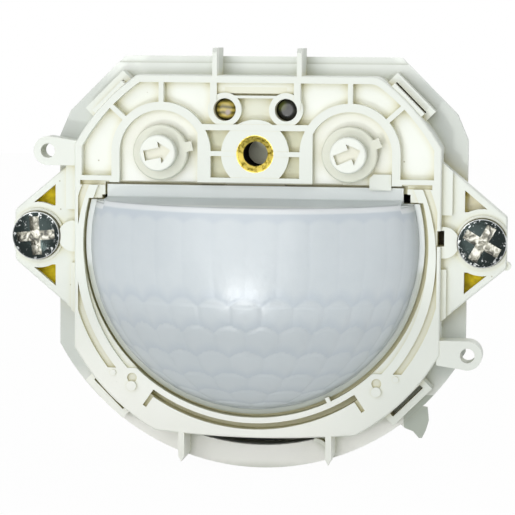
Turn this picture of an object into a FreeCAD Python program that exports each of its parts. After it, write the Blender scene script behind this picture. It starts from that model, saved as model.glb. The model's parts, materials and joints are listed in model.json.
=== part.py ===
import FreeCAD
import Part
import math
import os

# Flush-mounted motion detector module without its cover plate, in millimetres.
# X runs to the right, Z up and the front looks along -Y. The origin lies midway between the two
# box screws, on the wall plane. A height (names with _h) is measured forward from the wall plane,
# so a height h is y = -h, and a negative height lies inside the wall box.

# Fixing to the wall box
SCREW_PITCH = 60.0
SCREW_R = 1.6
SCREW_NECK_R = 1.4
SCREW_THREAD_H = 0.05
SCREW_HEAD_R = 3.23
SCREW_HEAD_H = 2.0
SCREW_LENGTH = 25.0
SCREW_HOLE_GAP = 0.25
SCREW_RECESS_SPAN = 5.2
SCREW_RECESS_W = 1.3
SCREW_RECESS_DEPTH = 1.3
SCREW_DOME_H = 0.5
SCREW_TURN_LEFT = 5.0
SCREW_TURN_RIGHT = -30.0
screw_x = SCREW_PITCH / 2
screw_hole_r = SCREW_R + SCREW_HOLE_GAP

# Levels of the stack, forward from the wall
FLANGE_T = 1.2
FLANGE_RELIEF = 0.35
STRAP_T = 1.5
ARM_T = 2.1
FACE_STEP_H = 2.0
strap_h = FLANGE_T
arm_back_h = strap_h + STRAP_T
arm_front_h = arm_back_h + ARM_T
front_h = arm_front_h + FACE_STEP_H

# Lens
FACE_X = -0.2
LENS_SHIFT = -0.15
LENS_Z = -0.7
LENS_DOME_R = 22.0
LENS_RIM_W = 0.8
LENS_RIM_T = 0.9
LENS_RIM_DROP = 0.9
LENS_WALL = 0.7
LENS_RISE = 8.5
LENS_SHOULDER_Z = 5.05
LENS_TAB_INSET = 2.9
LENS_TAB_TOP = 7.2
LENS_TAB_STEP = 0.15
LENS_TAB_STEP_HALF_W = 4.0
LENS_ROOF_Z = 5.5
LENS_ROOF_FALL = 0.75
LENS_SETBACK = 0.1
LENS_GAP = 0.4
LENS_TOP_GAP = 0.22
LENS_SEAT_W = 1.3
LENS_CLIP_X = 10.0
LENS_CLIP_W = 0.55
LENS_CLIP_OVER = 0.3
lens_x = FACE_X + LENS_SHIFT
lens_r = LENS_DOME_R + LENS_RIM_W
lens_tab_half_w = lens_r - LENS_TAB_INSET
rim_front_h = front_h - LENS_RIM_DROP
rim_back_h = rim_front_h - LENS_RIM_T

# Front frame
FRAME_BAND = 5.35
FRAME_Z = -1.25
FRAME_SIDE_FLAT = 3.55
FRAME_BOTTOM_FLAT = 2.75
FRAME_BOTTOM_BOW_R = 130.0
FRAME_CORNER_R = 2.5
RIM_T = 1.0
FLOOR_T = 1.2
RECESS_DEPTH = 1.6
FACE_T = 1.4
FACE_STEP = 0.86
RIB_T = 0.65
EDGE_ROUND = 0.25
frame_r = lens_r + FRAME_BAND
frame_half_w = frame_r - FRAME_SIDE_FLAT
frame_bottom = FRAME_Z - frame_r + FRAME_BOTTOM_FLAT
floor_front_h = front_h - RECESS_DEPTH
floor_back_h = floor_front_h - FLOOR_T

# Screw block, threaded insert and sensor windows
BLOCK_HALF_W = 7.7
BLOCK_BELOW = 4.0
BLOCK_ABOVE = 3.9
BLOCK_WALL = 0.8
BLOCK_POCKET_DEPTH = 1.8
INSERT_R = 2.5
INSERT_BORE_R = 1.65
INSERT_MOUTH_W = 0.75
INSERT_MOUTH_DEPTH = 0.45
INSERT_LENGTH = 5.8
INSERT_DROP = 0.15
BOSS_WALL = 2.05
BOSS_DROP = 0.1
EYE_PITCH = 8.2
EYE_RISE = 1.95
EYE_TO_TOP = 4.55
EYE_R = 1.5
EYE_BOSS_WALL = 0.76
EYE_BOSS_DROP = 0.15
EYE_RIB_RISE = 1.7
EYE_RIB_T = 0.35
EYE_SHELF_RISE = 2.85
EYE_SHELF_T = 1.4
EYE_SHELF_DROP = 0.7
EYE_SIDE_T = 0.9
block_bottom = LENS_TAB_TOP + LENS_TOP_GAP
face_top = block_bottom + FACE_STEP
insert_z = block_bottom + BLOCK_BELOW
block_top = insert_z + BLOCK_ABOVE
boss_r = INSERT_R + BOSS_WALL
insert_front_h = front_h - INSERT_DROP
insert_back_h = insert_front_h - INSERT_LENGTH
eye_x = FACE_X + EYE_PITCH / 2
eye_z = block_top + EYE_RISE
eye_boss_r = EYE_R + EYE_BOSS_WALL
eye_side_x = EYE_PITCH / 2 + EYE_R
frame_top = eye_z + EYE_TO_TOP

# Adjusters and their guards
GUARD_IN = 5.6
GUARD_WALL = 1.1
GUARD_TO_BLOCK = 4.95
GUARD_RISE = 0.1
GUARD_FLOOR_RISE = 0.4
GUARD_RIB_ANGLE = 42.0
KNOB_FLANGE_R = 3.7
KNOB_FLANGE_T = 1.4
KNOB_TAB_REACH = 0.7
KNOB_TAB_W = 1.3
KNOB_TAB_T = 0.8
KNOB_DISC_R = 2.4
KNOB_DISC_T = 2.1
KNOB_PROUD = 0.6
KNOB_STEM_R = 1.3
KNOB_STEM_GAP = 0.6
KNOB_ARROW_DEPTH = 0.8
KNOB_ARROW_LENGTH = 3.6
KNOB_ARROW_SHAFT_W = 1.35
KNOB_ARROW_HEAD_W = 2.9
KNOB_ARROW_HEAD_L = 1.5
KNOB_TIME_ANGLE = 12.0
KNOB_LIGHT_ANGLE = 22.0
guard_out = GUARD_IN + GUARD_WALL
knob_reach = BLOCK_HALF_W + GUARD_TO_BLOCK
knob_z = insert_z + GUARD_RISE
knob_front_h = front_h + KNOB_PROUD
guard_floor_h = floor_front_h + GUARD_FLOOR_RISE
left_knob_x = FACE_X - knob_reach
right_knob_x = FACE_X + knob_reach

# Catch over the lens tab, beside the right adjuster
CATCH_IN = 2.6
CATCH_W = 2.9
CATCH_RISE = 1.5
CATCH_LAP = 0.4
CATCH_DROP = 0.45
CATCH_GAP = 0.35

# Lines of the frame around the lens
RIDGE_LOWER = 1.5
RIDGE_START = 0.25
RIDGE_W = 1.15
CHANNEL_W = 0.9
CHANNEL_DEPTH = 0.6
CHANNEL_END_Z = -17.6
GROOVE_START = 1.15
GROOVE_W = 0.85
GROOVE_DEPTH = 2.2
GROOVE_HALF_ANGLE = 34.5
GROOVE_HOOK_L = 1.7
GROOVE_HOOK_W = 0.55
GROOVE_HOOK_DEPTH = 0.7
TOP_GROOVE_W = 0.6
TOP_GROOVE_DEPTH = 0.9
TOP_GROOVE_START = 0.3
NOTCH_W = 1.1
NOTCH_H = 1.25
LEFT_NOTCH_W = 0.9
LEFT_NOTCH_H = 0.65
PIN_ANGLE = 40.6
PIN_REACH = 2.55
PIN_R = 0.65
PIN_H = 0.6
PIN_POCKET_RISE = 1.05
PIN_POCKET_DEPTH = 0.35
NUB_ANGLE = 47.4
NUB_REACH = 3.1
NUB_R = 0.4
NUB_H = 0.3
ridge_z = LENS_Z - RIDGE_LOWER
ridge_in = lens_r + RIDGE_START
ridge_out = ridge_in + RIDGE_W
channel_out = ridge_out + CHANNEL_W
groove_in = lens_r + GROOVE_START
groove_out = groove_in + GROOVE_W

# Side arms over the strap
ARM_TIP_REACH = 3.2
ARM_ROOT_HALF_H = 10.6
ARM_TIP_HALF_H = 3.4
ARM_CORNER_R = 0.7
SIDE_BOSS_R = 2.1
SIDE_BOSS_REACH = 0.3
SIDE_BOSS_DROP = 0.8
ARM_SEAT_GAP = 0.12
ARM_SEAT_W = 0.3
ARM_SEAT_H = 0.5
SLIT_X = 24.1
SLIT_W = 0.9
SLIT_BOTTOM = -0.5
SLIT_TOP = 1.6
ARM_LEDGE_W = 1.4
ARM_LEDGE_H = 0.8
ARM_LEDGE_FOOT = 3.6
WINDOW_POINTS = ((-2.4, 6.9), (-2.4, 4.0), (1.2, 3.9))
WINDOW_ARC_R = 4.45
WINDOW_POCKET_POINTS = ((-3.2, 7.9), (-3.2, 3.6), (2.1, 3.6))
WINDOW_LIP_T = 0.8
ARM_NUB_R = 0.55
arm_tip_x = screw_x + ARM_TIP_REACH
arm_root_x = frame_half_w - RIM_T
seat_in_r = SCREW_HEAD_R + ARM_SEAT_GAP

# Ears for the cover
EAR_REACH = 3.68
EAR_MID_Z = -1.7
EAR_RISE = 13.2
EAR_WALL = 0.98
EAR_HOLE_R = 0.97
EAR_T = 3.4
EAR_DROP = 0.2
EAR_NECK_TOP = 1.35
EAR_OVERLAP = 0.4
ear_x = frame_half_w + EAR_REACH
ear_r = EAR_HOLE_R + EAR_WALL

# Snap loops for the cover, on the diagonals of the frame
LOOP_REACH = 1.55
LOOP_BAR = 0.9
LOOP_SLOT = 0.6
LOOP_LENGTH = 7.2
LOOP_END = 0.8
LOOP_T = 3.0
LOOP_DROP = 2.3
LOOP_STRIP_W = 0.45
LOOP_STRIP_DROP = 0.3
LOOP_ANGLE = 45.0
UPPER_QUARTERS = (0, 3)
loop_out = frame_r + LOOP_REACH

# Guide fins for the cover
TOP_FIN_X = 5.65
TOP_FIN_T = 0.65
TOP_FIN_L = 3.6
BOTTOM_FIN_X = 9.95
BOTTOM_FIN_T = 0.8
BOTTOM_FIN_L = 3.5
BOTTOM_FIN_POINT = 0.8
FIN_CHAMFER = 0.6
FIN_WEB_R = 2.4
FIN_WEB_T = 0.5
FIN_WEB_H = 2.4

# Mounting flange
FLANGE_BORDER = 3.45
FLANGE_SIDE_BORDER = 3.15
FLANGE_TOP_BORDER = 2.45
FLANGE_CORNER_CUT = 7.55
FLANGE_CORNER_LEAN = 1.45
FLANGE_CORNER_FOOT = 3.4
FLANGE_LIP_W = 0.95
FLANGE_LIP_STEP = 0.5
FLANGE_HOLE_SIDE = 1.5
FLANGE_HOLE_TOP_GAP = 2.3
FLANGE_NOTCH_HALF_W = 10.6
FLANGE_NOTCH_LIP = 0.25
TOOTH_T = 0.7
TOOTH_ANGLE = 48.0
TOOTH_POINTS = ((0.06, 0.88), (1.56, 0.68), (1.76, -1.12), (1.36, -2.52), (0.86, -3.52),
                (0.46, -3.52), (-0.34, -2.62), (-1.44, -2.22), (-2.54, -1.32))
flange_r = frame_r + FLANGE_BORDER
flange_half_w = frame_half_w + FLANGE_SIDE_BORDER
flange_top = frame_top + FLANGE_TOP_BORDER

# Steel strap
STRAP_CLEAR = 1.95
STRAP_W = 2.6
STRAP_HORN_W = 3.2
STRAP_SEAT_W = 1.2
STRAP_INSET = 0.5
STRAP_SLOT_GAP = 0.15
STRAP_SLOT_HALF = 1.4
strap_out_r = frame_r - RIM_T - STRAP_CLEAR
strap_in_r = strap_out_r - STRAP_W
strap_slot_r = SCREW_R + STRAP_SLOT_GAP
flange_hole_r = strap_out_r - STRAP_SEAT_W

# Rear housing
MOUTH_BORDER = 1.85
MOUTH_SCREW_GAP = 1.55
MOUTH_TOP_BORDER = 0.95
MOUTH_FIT = 0.15
MOUTH_WALL = 1.0
MOUTH_DEPTH = 4.0
POT_STEP = 3.35
POT_WALL = 1.0
POT_FLOOR_T = 1.2
POT_FOOT_R = 1.5
SHOULDER_T = 1.0
STANDOFF_R = 1.7
STANDOFF_L = 4.4
STANDOFF_REACH = 21.9
mouth_r = flange_r - MOUTH_BORDER
mouth_half_w = screw_x - SCREW_R - MOUTH_SCREW_GAP
mouth_top = flange_top - MOUTH_TOP_BORDER
pot_r = mouth_r - POT_STEP
pot_top = mouth_top - MOUTH_WALL

# Boards
BOARD_T = 1.6
BOARD_GAP = 0.3
POWER_BOARD_GAP = 0.8
PARTS_GAP = 2.8
FRAME_POST_X = 8.6
FRAME_POST_RISE = 0.75
FRAME_POST_R = 1.2
RELAY_H = 12.0
board_back_h = -MOUTH_DEPTH
board_front_h = board_back_h + BOARD_T
power_front_h = board_back_h - PARTS_GAP - RELAY_H
power_back_h = power_front_h - BOARD_T
pot_floor_h = power_back_h - STANDOFF_L
pot_back_h = pot_floor_h - POT_FLOOR_T

# Parts on the sensor board
PIR_Z = 1.5
PIR_BASE_R = 4.6
PIR_BASE_T = 0.6
PIR_CAN_R = 4.1
PIR_CAN_H = 4.2
PIR_WALL = 0.25
PIR_WINDOW_W = 4.0
PIR_WINDOW_H = 3.4
PIR_WINDOW_T = 0.5
PIR_LEAD_R = 0.25
PIR_LEAD_PCD_R = 2.54
PIR_LEAD_ANGLES = (45.0, 135.0, 270.0)
LEAD_TAIL = 1.0
EYE_PART_R = 1.35
EYE_PART_LENGTH = 5.3
LED_DROP = 1.2
LDR_DROP = 1.6
LEAD_R = 0.28
LEAD_HALF_PITCH = 0.8
TRIMMER_W = 7.0
TRIMMER_H = 4.0
TRIMMER_WALL = 0.8
ROTOR_T = 2.0
ROTOR_SOCKET = 1.0
ROTOR_GAP = 0.35
trimmer_top_h = board_front_h + TRIMMER_H
cup_r = TRIMMER_W / 2 - TRIMMER_WALL
rotor_r = cup_r - ROTOR_GAP
rotor_front_h = trimmer_top_h + ROTOR_GAP

# Parts on the power board, each as (x, z) of its middle
CASE_ROUND = 0.6
RELAY_AT = (-10.75, 0.0)
RELAY_W = 15.5
RELAY_L = 19.0
FILM_AT = (7.25, -3.0)
FILM_W = 8.5
FILM_L = 18.0
FILM_H = 11.5
ELECTROLYTIC_AT = (16.6, -6.2)
ELECTROLYTIC_R = 4.0
ELECTROLYTIC_H = 12.0
ELECTROLYTIC_BEAD_H = 2.0
CHOKE_AT = (16.6, 5.0)
CHOKE_R = 4.2
CHOKE_CORE_R = 2.4
CHOKE_H = 9.0
CHOKE_RIM_T = 1.2
WINDING_DROP = 0.3
FUSE_AT = (11.0, 13.2)
FUSE_R = 3.9
FUSE_H = 7.6
VARISTOR_AT = (4.0, -16.8)
VARISTOR_R = 3.8
VARISTOR_T = 3.4
VARISTOR_STAND = 1.0
HEADER_Z = 13.0
HEADER_PINS = 5
HEADER_PITCH = 2.54
HEADER_W = 2.5
HEADER_H = 2.5
HEADER_PIN_W = 0.64
PIN_ENGAGE = 2.7
SOCKET_H = 8.5
SOCKET_PIN_GAP = 0.1
SOCKET_FLOOR = 1.0
socket_top_h = power_front_h + SOCKET_H

# Terminals
TERMINAL_POLES = 3
TERMINAL_PITCH = 7.6
TERMINAL_BOTTOM = -17.5
TERMINAL_Z_L = 9.0
TERMINAL_PROUD = 4.6
TERMINAL_WALL = 1.2
TERMINAL_WIRE_R = 1.4
TERMINAL_SCREW_R = 1.5
TERMINAL_SCREW_SLOT = 0.6
TERMINAL_SCREW_REACH = 2.0
CLAMP_W = 4.8
CLAMP_H = 5.6
CLAMP_Z_L = 4.6
TERMINAL_FIT = 0.15
terminal_top = TERMINAL_BOTTOM + TERMINAL_Z_L
terminal_back_h = pot_back_h - TERMINAL_PROUD
clamp_front_h = power_back_h - TERMINAL_WALL
clamp_bottom = TERMINAL_BOTTOM + TERMINAL_WALL + TERMINAL_SCREW_REACH
clamp_mid_h = clamp_front_h - CLAMP_H / 2
wire_z = clamp_bottom + CLAMP_Z_L / 2

EACH_SIDE = (-1, 1)
FAR = 80.0


def at(x, h, z):
    """Point at height h in front of the wall."""
    return FreeCAD.Vector(x, -h, z)


def prism(points, h0, h1):
    """Straight-sided solid over an (x, z) outline, between two heights."""
    corners = [at(x, h0, z) for x, z in points]
    face = Part.Face(Part.makePolygon(corners + corners[:1]))
    return face.extrude(FreeCAD.Vector(0, h0 - h1, 0))


def side_prism(points, x0, x1):
    """Straight-sided solid over an (h, z) outline, between two x."""
    corners = [at(x0, h, z) for h, z in points]
    face = Part.Face(Part.makePolygon(corners + corners[:1]))
    return face.extrude(FreeCAD.Vector(x1 - x0, 0, 0))


def disc(x, z, r, h0, h1):
    """Cylinder along Y between two heights."""
    return Part.makeCylinder(r, h1 - h0, at(x, h0, z), FreeCAD.Vector(0, -1, 0))


def ring(x, z, r_in, r_out, h0, h1):
    """Tube along Y between two heights."""
    return disc(x, z, r_out, h0, h1).cut(disc(x, z, r_in, h0, h1))


def block(x0, x1, z0, z1, h0, h1):
    """Box between two x, two z and two heights."""
    return Part.makeBox(x1 - x0, h1 - h0, z1 - z0, at(x0, h1, z0))


def turned(shape, x, z, degrees):
    """Shape turned about a line along Y; positive is anticlockwise seen from the front."""
    copy = shape.copy()
    copy.rotate(at(x, 0, z), FreeCAD.Vector(0, -1, 0), degrees)
    return copy


def moved(shape, dx, dz):
    """Shape shifted in the plane of the wall."""
    copy = shape.copy()
    copy.translate(FreeCAD.Vector(dx, 0, dz))
    return copy


def mirrored(shape, about=0.0):
    """Shape mirrored left to right about an upright plane."""
    return shape.mirror(FreeCAD.Vector(about, 0, 0), FreeCAD.Vector(1, 0, 0))


def both_sides(shape, about=0.0):
    """Shape with its left to right mirror image."""
    return [shape, mirrored(shape, about)]


def joined(first, others):
    """One solid from touching or overlapping ones."""
    return first.fuse(others).removeSplitter()


def front_edges(shape, h):
    """Edges that lie wholly in the plane at height h."""
    level = -h
    return [e for e in shape.Edges if all(abs(v.Y - level) < 1e-6 for v in e.Vertexes)
            and abs(e.CenterOfMass.y - level) < 1e-6]


def depth_edge_near(shape, x, z):
    """Edge along Y that lies nearest to a point of the outline."""
    upright = [e for e in shape.Edges if len(e.Vertexes) == 2
               and abs(e.Vertexes[0].X - e.Vertexes[1].X) < 1e-6
               and abs(e.Vertexes[0].Z - e.Vertexes[1].Z) < 1e-6]
    return min(upright, key=lambda e: math.hypot(e.Vertexes[0].X - x, e.Vertexes[0].Z - z))


def on_circle(x, z, r, degrees_from_down):
    """Point of a circle, by its angle to the right of straight down."""
    angle = math.radians(degrees_from_down)
    return x + r * math.sin(angle), z - r * math.cos(angle)


def frame_outline(inset, h0, h1):
    """Solid with the outline of the front frame, drawn in by an inset."""
    round_part = disc(0, FRAME_Z, frame_r - inset, h0, h1)
    half = frame_half_w - inset
    top = frame_top - inset
    flat_part = block(-half, half, -FAR, top, h0, h1)
    bow = disc(0, frame_bottom + FRAME_BOTTOM_BOW_R, FRAME_BOTTOM_BOW_R - inset, h0, h1)
    shape = round_part.common(flat_part).common(bow)
    reach = math.sqrt((frame_r - inset) ** 2 - (top - FRAME_Z) ** 2)
    corner = depth_edge_near(shape, min(reach, half), top)
    return shape.makeFillet(FRAME_CORNER_R, [corner])


def flange_outline(inset, h0, h1):
    """Solid with the outline of the mounting flange, drawn in by an inset."""
    half = flange_half_w - inset
    top = flange_top - inset
    slant = inset * (math.sqrt(2) - 1)
    foot_z = flange_top - FLANGE_CORNER_CUT - FLANGE_CORNER_FOOT
    lean_x = half - FLANGE_CORNER_LEAN
    lean_z = flange_top - FLANGE_CORNER_CUT - slant
    top_x = flange_half_w - FLANGE_CORNER_LEAN - FLANGE_CORNER_CUT - slant
    right = [(half, -FAR), (half, foot_z), (lean_x, lean_z), (top_x, top)]
    left = [(-x, z) for x, z in reversed(right)]
    return disc(0, 0, flange_r - inset, h0, h1).common(prism(right + left, h0, h1))


def lens_outline(x, offset, top_offset, h0, h1):
    """Solid with the outline of the lens rim and its top tab, grown by an offset."""
    shoulder = LENS_SHOULDER_Z + offset / 2
    bowl = disc(x, LENS_Z, lens_r + offset, h0, h1)
    bowl = bowl.common(block(-FAR, FAR, -FAR, shoulder, h0, h1))
    half = lens_tab_half_w + offset
    tab = block(x - half, x + half, 0, LENS_TAB_TOP + top_offset, h0, h1)
    return joined(bowl, [tab])


def arm_outline(inset, h0, h1):
    """Solid with the six-sided outline of the right arm, drawn in by an inset."""
    tip = arm_tip_x - inset
    slope = (ARM_ROOT_HALF_H - ARM_TIP_HALF_H) / (arm_tip_x - frame_half_w)
    drop = inset * (math.sqrt(1 + slope ** 2) - slope)
    tip_z = ARM_TIP_HALF_H - drop
    root_z = tip_z + slope * (tip - arm_root_x)
    right = [(arm_root_x, -root_z), (tip, -tip_z), (tip, tip_z), (arm_root_x, root_z)]
    arm = prism(right, h0, h1)
    corners = [depth_edge_near(arm, tip, sign * tip_z) for sign in EACH_SIDE]
    return arm.makeFillet(ARM_CORNER_R, corners)


def flange_tooth():
    """Small curved tooth at the lower right edge of the flange."""
    base_x, base_z = on_circle(0, 0, flange_r, 90.0 - TOOTH_ANGLE)
    points = [(base_x + x, base_z + z) for x, z in TOOTH_POINTS]
    return prism(points, 0, TOOTH_T)


def mounting_flange():
    """Thin ring on the wall with relieved pads under the side arms and a locating tooth."""
    plate = flange_outline(0, 0, FLANGE_T)
    lip = block(-FAR, FAR, flange_top - FLANGE_LIP_W, FAR, FLANGE_T - FLANGE_LIP_STEP, FLANGE_T)
    plate = plate.cut(lip)
    pads = both_sides(arm_outline(STRAP_INSET / 2, FLANGE_RELIEF, FLANGE_T))
    plate = joined(plate, pads + [flange_tooth()])
    seat = mouth_outline(-MOUTH_FIT, 0, FLANGE_RELIEF)
    half = flange_hole_r - FLANGE_HOLE_SIDE
    hole = disc(0, 0, flange_hole_r, 0, FLANGE_T)
    hole_top = frame_top - FLANGE_HOLE_TOP_GAP
    hole = hole.common(block(-half, half, -FAR, hole_top, 0, FLANGE_T))
    notch = disc(0, 0, mouth_r - MOUTH_WALL - FLANGE_NOTCH_LIP, 0, FLANGE_T)
    notch = notch.common(block(-FLANGE_NOTCH_HALF_W, FLANGE_NOTCH_HALF_W, -FAR, 0, 0, FLANGE_T))
    holes = [disc(side * screw_x, 0, screw_hole_r, 0, FLANGE_T) for side in EACH_SIDE]
    return plate.cut([seat, hole, notch] + holes).removeSplitter()


def mounting_strap():
    """Steel plate open at the top, with two slotted ears that the box screws pass through."""
    top = arm_back_h
    ring_part = disc(0, 0, strap_out_r, strap_h, top)
    ring_part = ring_part.common(block(-arm_root_x, arm_root_x, -FAR, FAR, strap_h, top))
    ears = both_sides(arm_outline(STRAP_INSET, strap_h, top))
    plate = joined(ring_part, ears)
    horn_x = arm_root_x - STRAP_HORN_W
    between = block(-horn_x, horn_x, 0, FAR, strap_h, top)
    plate = plate.cut([disc(0, 0, strap_in_r, strap_h, top), between])
    for side in EACH_SIDE:
        x = side * screw_x
        middle = block(x - strap_slot_r, x + strap_slot_r, -STRAP_SLOT_HALF, STRAP_SLOT_HALF,
                       strap_h, top)
        ends = [disc(x, sign * STRAP_SLOT_HALF, strap_slot_r, strap_h, top)
                for sign in EACH_SIDE]
        plate = plate.cut(joined(middle, ends))
    return plate


def frame_shell():
    """Outer wall, recessed upper floor and flat lower face of the front frame."""
    outer = frame_outline(0, FLANGE_T, front_h)
    outer = outer.makeFillet(EDGE_ROUND, front_edges(outer, front_h))
    hollow = frame_outline(RIM_T, FLANGE_T, floor_back_h)
    recess = frame_outline(RIM_T, floor_front_h, front_h)
    recess = recess.common(block(-FAR, FAR, face_top - RIB_T, FAR, floor_front_h, front_h))
    under_face = frame_outline(RIM_T, floor_back_h, front_h - FACE_T)
    under_face = under_face.common(block(-FAR, FAR, -FAR, face_top - RIB_T, floor_back_h,
                                         front_h))
    return outer.cut([hollow, recess, under_face])


def guard_outline(r, h0, h1):
    """Arch round the right adjuster: a half circle on two upright sides."""
    x = right_knob_x
    legs = block(x - r, x + r, block_bottom, knob_z, h0, h1)
    arch = joined(disc(x, knob_z, r, h0, h1), [legs])
    return arch.common(block(-FAR, FAR, block_bottom, FAR, h0, h1))


def upper_ribs():
    """Ribs of the recess on the right-hand side, from the rim to the guard and the block."""
    h0 = floor_back_h
    h1 = front_h
    x = right_knob_x
    up = block(x - RIB_T / 2, x + RIB_T / 2, knob_z, FAR, h0, h1)
    level = block(x, FAR, face_top - RIB_T, face_top, h0, h1)
    slant = block(x, FAR, knob_z - RIB_T / 2, knob_z + RIB_T / 2, h0, h1)
    slant = turned(slant, x, knob_z, GUARD_RIB_ANGLE)
    side_x = FACE_X + eye_side_x - EYE_SIDE_T / 2
    beside_eye = block(side_x, side_x + EYE_SIDE_T, eye_z, FAR, h0, h1)
    within = frame_outline(RIM_T / 2, h0, h1)
    ribs = [shape for rib in (up, level, slant, beside_eye) for shape in both_sides(rib, FACE_X)]
    return [rib.common(within) for rib in ribs]


def eye_features():
    """Bosses of the two sensor windows with the rib and the shelf between them."""
    boss = disc(eye_x, eye_z, eye_boss_r, floor_back_h, front_h - EYE_BOSS_DROP)
    x0 = FACE_X - eye_side_x
    x1 = FACE_X + eye_side_x
    rib_z = eye_z + EYE_RIB_RISE
    rib = block(x0, x1, rib_z - EYE_RIB_T / 2, rib_z + EYE_RIB_T / 2, floor_back_h,
                front_h - EYE_BOSS_DROP)
    shelf_z = eye_z + EYE_SHELF_RISE
    shelf = block(x0, x1, shelf_z - EYE_SHELF_T / 2, shelf_z + EYE_SHELF_T / 2, floor_back_h,
                  front_h - EYE_SHELF_DROP)
    return both_sides(boss, FACE_X) + [rib, shelf]


def screw_block():
    """Walled block with pockets round the boss of the threaded insert."""
    floor_h = front_h - BLOCK_POCKET_DEPTH
    body = block(FACE_X - BLOCK_HALF_W, FACE_X + BLOCK_HALF_W, block_bottom, block_top,
                 floor_h - FLOOR_T, front_h)
    inner = BLOCK_HALF_W - BLOCK_WALL
    pocket = block(FACE_X - inner, FACE_X + inner, block_bottom + BLOCK_WALL,
                   block_top - BLOCK_WALL, floor_h, front_h)
    cross = block(FACE_X - inner, FACE_X + inner, insert_z - RIB_T / 2, insert_z + RIB_T / 2,
                  floor_h, front_h)
    boss = disc(FACE_X, insert_z, boss_r, insert_back_h - FLOOR_T, front_h - BOSS_DROP)
    return joined(body.cut(pocket), [cross, boss])


def side_arm():
    """Right-hand arm over the strap, with its boss, ledges, windows and screw seat."""
    x = screw_x
    plate = arm_outline(0, arm_back_h, arm_front_h)
    plate = plate.makeFillet(EDGE_ROUND, [e for e in front_edges(plate, arm_front_h)
                                          if e.CenterOfMass.x > frame_half_w])
    ledge_h = arm_front_h + ARM_LEDGE_H
    inside_x = frame_half_w - RIM_T / 2
    ledge_x = frame_half_w + ARM_LEDGE_W
    ledges = block(inside_x, ledge_x, -ARM_ROOT_HALF_H, ARM_ROOT_HALF_H, arm_back_h, ledge_h)
    gap = block(inside_x, ledge_x, -ARM_LEDGE_FOOT, ARM_LEDGE_FOOT, arm_front_h, ledge_h)
    slim = block(frame_half_w + ARM_LEDGE_W / 2, ledge_x, -ARM_ROOT_HALF_H, 0, arm_front_h,
                 ledge_h)
    ledges = ledges.cut([gap, slim]).common(arm_outline(0, arm_back_h, ledge_h))
    arm = joined(plate, [ledges])
    seat_h = arm_front_h + ARM_SEAT_H
    seat = ring(x, 0, seat_in_r, seat_in_r + ARM_SEAT_W, arm_front_h, seat_h)
    seat = seat.common(arm_outline(0, arm_front_h, seat_h))
    boss_h = front_h - SIDE_BOSS_DROP
    boss = disc(frame_half_w + SIDE_BOSS_REACH, 0, SIDE_BOSS_R, arm_back_h, boss_h)
    boss = boss.common(block(inside_x, FAR, -FAR, FAR, arm_back_h, boss_h))
    boss = boss.cut(disc(x, 0, seat_in_r, arm_front_h, boss_h))
    arm = joined(arm, [seat, boss])
    window = prism([(x + dx, z) for dx, z in WINDOW_POINTS], arm_back_h, arm_front_h)
    window = window.cut(disc(x, 0, WINDOW_ARC_R, arm_back_h, arm_front_h))
    pocket_h = arm_front_h - WINDOW_LIP_T
    pocket = prism([(x + dx, z) for dx, z in WINDOW_POCKET_POINTS], arm_back_h, pocket_h)
    pocket = pocket.cut(disc(x, 0, WINDOW_ARC_R - RIM_T / 2, arm_back_h, pocket_h))
    cuts = [window, pocket]
    cuts += [cut.mirror(at(0, 0, 0), FreeCAD.Vector(0, 0, 1)) for cut in (window, pocket)]
    return arm.cut(cuts + [disc(x, 0, screw_hole_r, arm_back_h, arm_front_h)])


def ear(side):
    """Pierced ear for the cover; -1 is the upper left one and 1 the lower right one."""
    h1 = front_h - EAR_DROP
    h0 = h1 - EAR_T
    x = side * ear_x
    z = EAR_MID_Z - side * EAR_RISE
    root = side * (frame_half_w - EAR_OVERLAP)
    neck = [(x, z + side * ear_r), (root, z + side * ear_r), (root, z - side * EAR_NECK_TOP),
            (x, z - side * ear_r)]
    lug = joined(disc(x, z, ear_r, h0, h1), [prism(neck, h0, h1)])
    return lug.cut(disc(x, z, EAR_HOLE_R, h0, h1))


def snap_loop(quarter):
    """Loop on one diagonal of the frame, with a strip over its root on the upper two."""
    h1 = front_h - LOOP_DROP
    h0 = h1 - LOOP_T
    half = LOOP_LENGTH / 2
    bar_in = loop_out - LOOP_BAR
    body = block(-half, half, frame_r - RIM_T / 2, loop_out, h0, h1)
    slot = block(LOOP_END - half, half - LOOP_END, bar_in - LOOP_SLOT, bar_in, h0, h1)
    loop = body.cut(slot)
    if quarter in UPPER_QUARTERS:
        strip = block(LOOP_END - half, half - LOOP_END, frame_r - RIM_T / 2,
                      frame_r + LOOP_STRIP_W, h0, front_h - LOOP_STRIP_DROP)
        loop = joined(loop, [strip])
    return turned(moved(loop, 0, FRAME_Z), 0, FRAME_Z, LOOP_ANGLE + 90.0 * quarter)


def top_fin(x):
    """Upright fin over the top edge, its corner cut off at the front."""
    root = frame_top - RIM_T / 2
    end = frame_top + TOP_FIN_L
    outline = [(FLANGE_T, root), (front_h, root), (front_h, end - FIN_CHAMFER),
               (front_h - FIN_CHAMFER, end), (FLANGE_T, end)]
    return side_prism(outline, x - TOP_FIN_T / 2, x + TOP_FIN_T / 2)


def bottom_fin(x):
    """Pointed fin under the bottom edge."""
    half = BOTTOM_FIN_T / 2
    root = frame_bottom + RIM_T
    end = frame_bottom - BOTTOM_FIN_L
    outline = [(x - half, root), (x - half, end + BOTTOM_FIN_POINT), (x, end),
               (x + half, end + BOTTOM_FIN_POINT), (x + half, root)]
    return prism(outline, FLANGE_T, front_h)


def fin_web():
    """Curved web behind the right bottom fin."""
    x = BOTTOM_FIN_X - FIN_WEB_R
    z = frame_bottom - FIN_WEB_T
    web = ring(x, z - FIN_WEB_R, FIN_WEB_R - FIN_WEB_T, FIN_WEB_R, FLANGE_T, FIN_WEB_H)
    return web.common(block(x, BOTTOM_FIN_X, z - FIN_WEB_R, z, FLANGE_T, FIN_WEB_H))


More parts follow.
